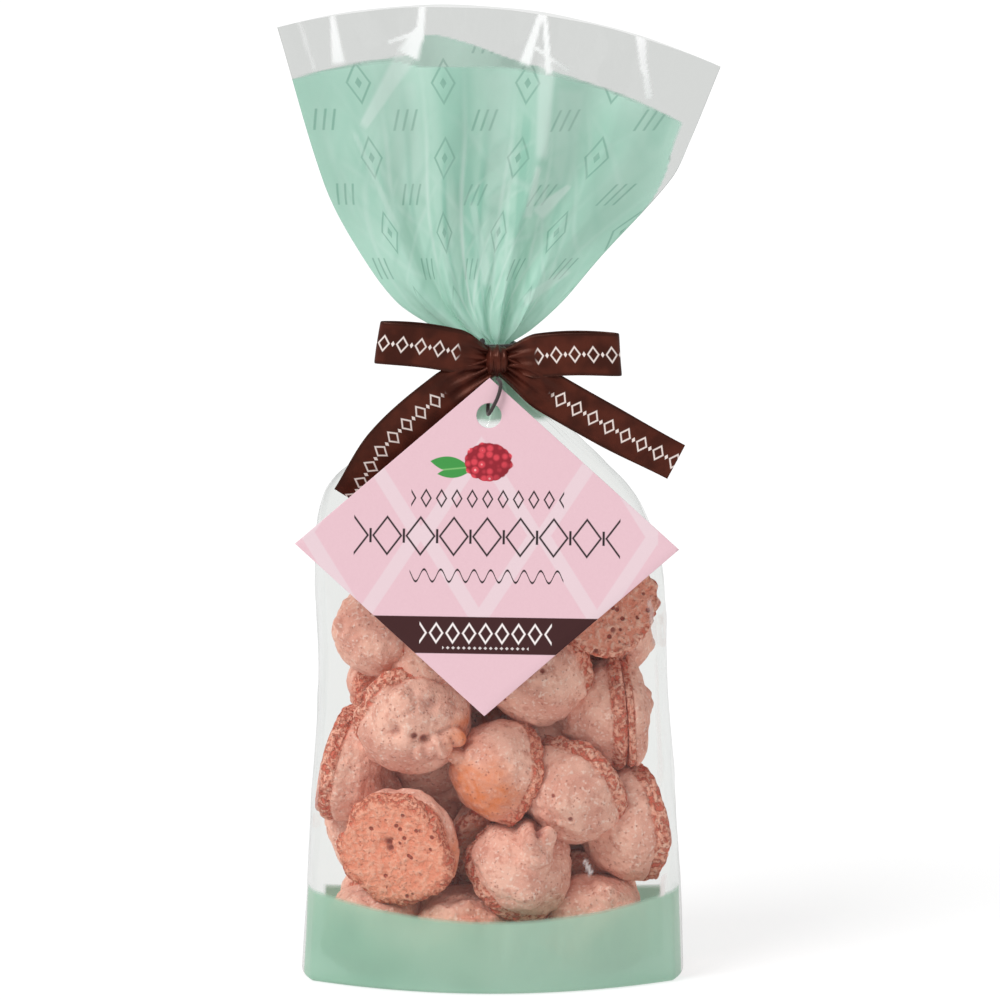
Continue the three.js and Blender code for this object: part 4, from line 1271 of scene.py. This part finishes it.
def braided(middle, side, closed=False):
    """A tube round a path. The radius rises and falls with a cosine that winds one way times one that
    winds the other way."""
    ahead = unit(np.gradient(middle, axis=0))
    if closed:
        ahead = unit(np.roll(middle, -1, axis=0) - np.roll(middle, 1, axis=0))
    out = unit(np.cross(ahead, side))
    other = np.cross(ahead, out)
    turn = 2 * np.pi * np.arange(24) / 24
    run = np.arange(len(middle))[:, None] * 0.55
    radius = CORD_RADIUS * (0.95 + 0.05 * np.cos(4 * turn + run) * np.cos(4 * turn - run))
    section = out[:, None] * (radius * np.cos(turn))[..., None]
    section = section + other[:, None] * (radius * np.sin(turn))[..., None]
    grid = middle[:, None] + section
    if closed:
        return outward(patch(grid, rows_meet=True))
    return outward(patch(grid, start=middle[0], end=middle[-1]))


def small_knot():
    """An egg with two crossing grooves."""
    up = np.linspace(0.02, np.pi - 0.02, 28)[:, None]
    turn = 2 * np.pi * np.arange(36) / 36
    groove = 1 - 0.12 * np.abs(np.cos(2 * up + turn)) ** 6 - 0.12 * np.abs(np.cos(2 * up - turn)) ** 6
    grid = TIE_KNOT + groove[..., None] * points_at(
        TIE_KNOT_HALF[0] * np.sin(up) * np.cos(turn),
        TIE_KNOT_HALF[1] * np.sin(up) * np.sin(turn),
        TIE_KNOT_HALF[2] * np.cos(up),
    )
    return outward(patch(grid, start=grid[0].mean(axis=0), end=grid[-1].mean(axis=0)))


def cord_material():
    """Dark fibre, dull, with a little sheen."""
    material, tree, principled = finish("dark_cord")
    fibre = grain(tree, 2600, 2)
    colour = coats(tree, tint(24, 16, 15), ((52, 38, 36), fibre))
    dress(tree, principled, colour, relief(tree, fibre, 0.1, 0.5), Roughness=0.7, Sheen_Weight=0.3)
    return material


dark_cord = cord_material()
loop = braided(route(TAG_CORD, 150), np.array([1.0, 0, 0]))
ring_turn = 2 * np.pi * np.arange(200) / 200
ring = braided(points_at(TIE_RADIUS * np.cos(ring_turn), TIE_RADIUS * np.sin(ring_turn), TIE_HEIGHT),
               np.array([0, 0, 1.0]), closed=True)
piece("braided_loop", [loop], dark_cord, "tag_cord")
piece("braided_tie", [ring, small_knot()], dark_cord, "neck_tie")

# %% [markdown]
# ## Floor and light
# The bag stood on white in broad soft light that came a little more from the upper left. An even sky
# fills the shadows, a broad light from the upper left gives the domes their shape, and a weak one from
# the right lifts the other side. The table is a lit white panel, as in a photographer's studio, so hardly
# a shadow shows on it.

# %% Stage
floor_mesh = bpy.data.meshes.new("floor")
FLOOR_HALF = 14.0
FLOOR_FRONT, FLOOR_BACK = -3, 28.0
corners = [
    (-FLOOR_HALF, FLOOR_FRONT, 0), (FLOOR_HALF, FLOOR_FRONT, 0),
    (FLOOR_HALF, FLOOR_BACK, 0), (-FLOOR_HALF, FLOOR_BACK, 0),
]
floor_mesh.from_pydata(corners, [], [(0, 1, 2, 3)])
floor = add_object("floor", floor_mesh)
floor.location.z = -0.0002
floor_paint, floor_tree, floor_shader = finish("white_floor")
floor_shader.inputs["Base Color"].default_value = (0.35, 0.35, 0.35, 1)
floor_shader.inputs["Roughness"].default_value = 0.9
floor_shader.inputs["Emission Color"].default_value = (1, 1, 1, 1)
floor_shader.inputs["Emission Strength"].default_value = 0.68
floor_mesh.materials.append(floor_paint)

sky = bpy.data.worlds.new("sky")
sky.use_nodes = True
sky.node_tree.nodes["Background"].inputs["Color"].default_value = (1, 1, 1, 1)
sky.node_tree.nodes["Background"].inputs["Strength"].default_value = 0.55
bpy.context.scene.world = sky


def broad_light(name, bearing, up, strength, spread):
    """Light from one side of the sky: degrees round from the front towards +X, degrees up, and how wide
    it is."""
    light = bpy.data.lights.new(name, "SUN")
    light.energy = strength
    light.angle = np.radians(spread)
    add_object(name, light).rotation_euler = (np.radians(90 - up), 0, np.radians(bearing))


broad_light("main_light", -50, 44, 2.2, 30)
broad_light("side_light", 50, 30, 0.2, 30)
bpy.context.scene.view_settings.view_transform = "Standard"
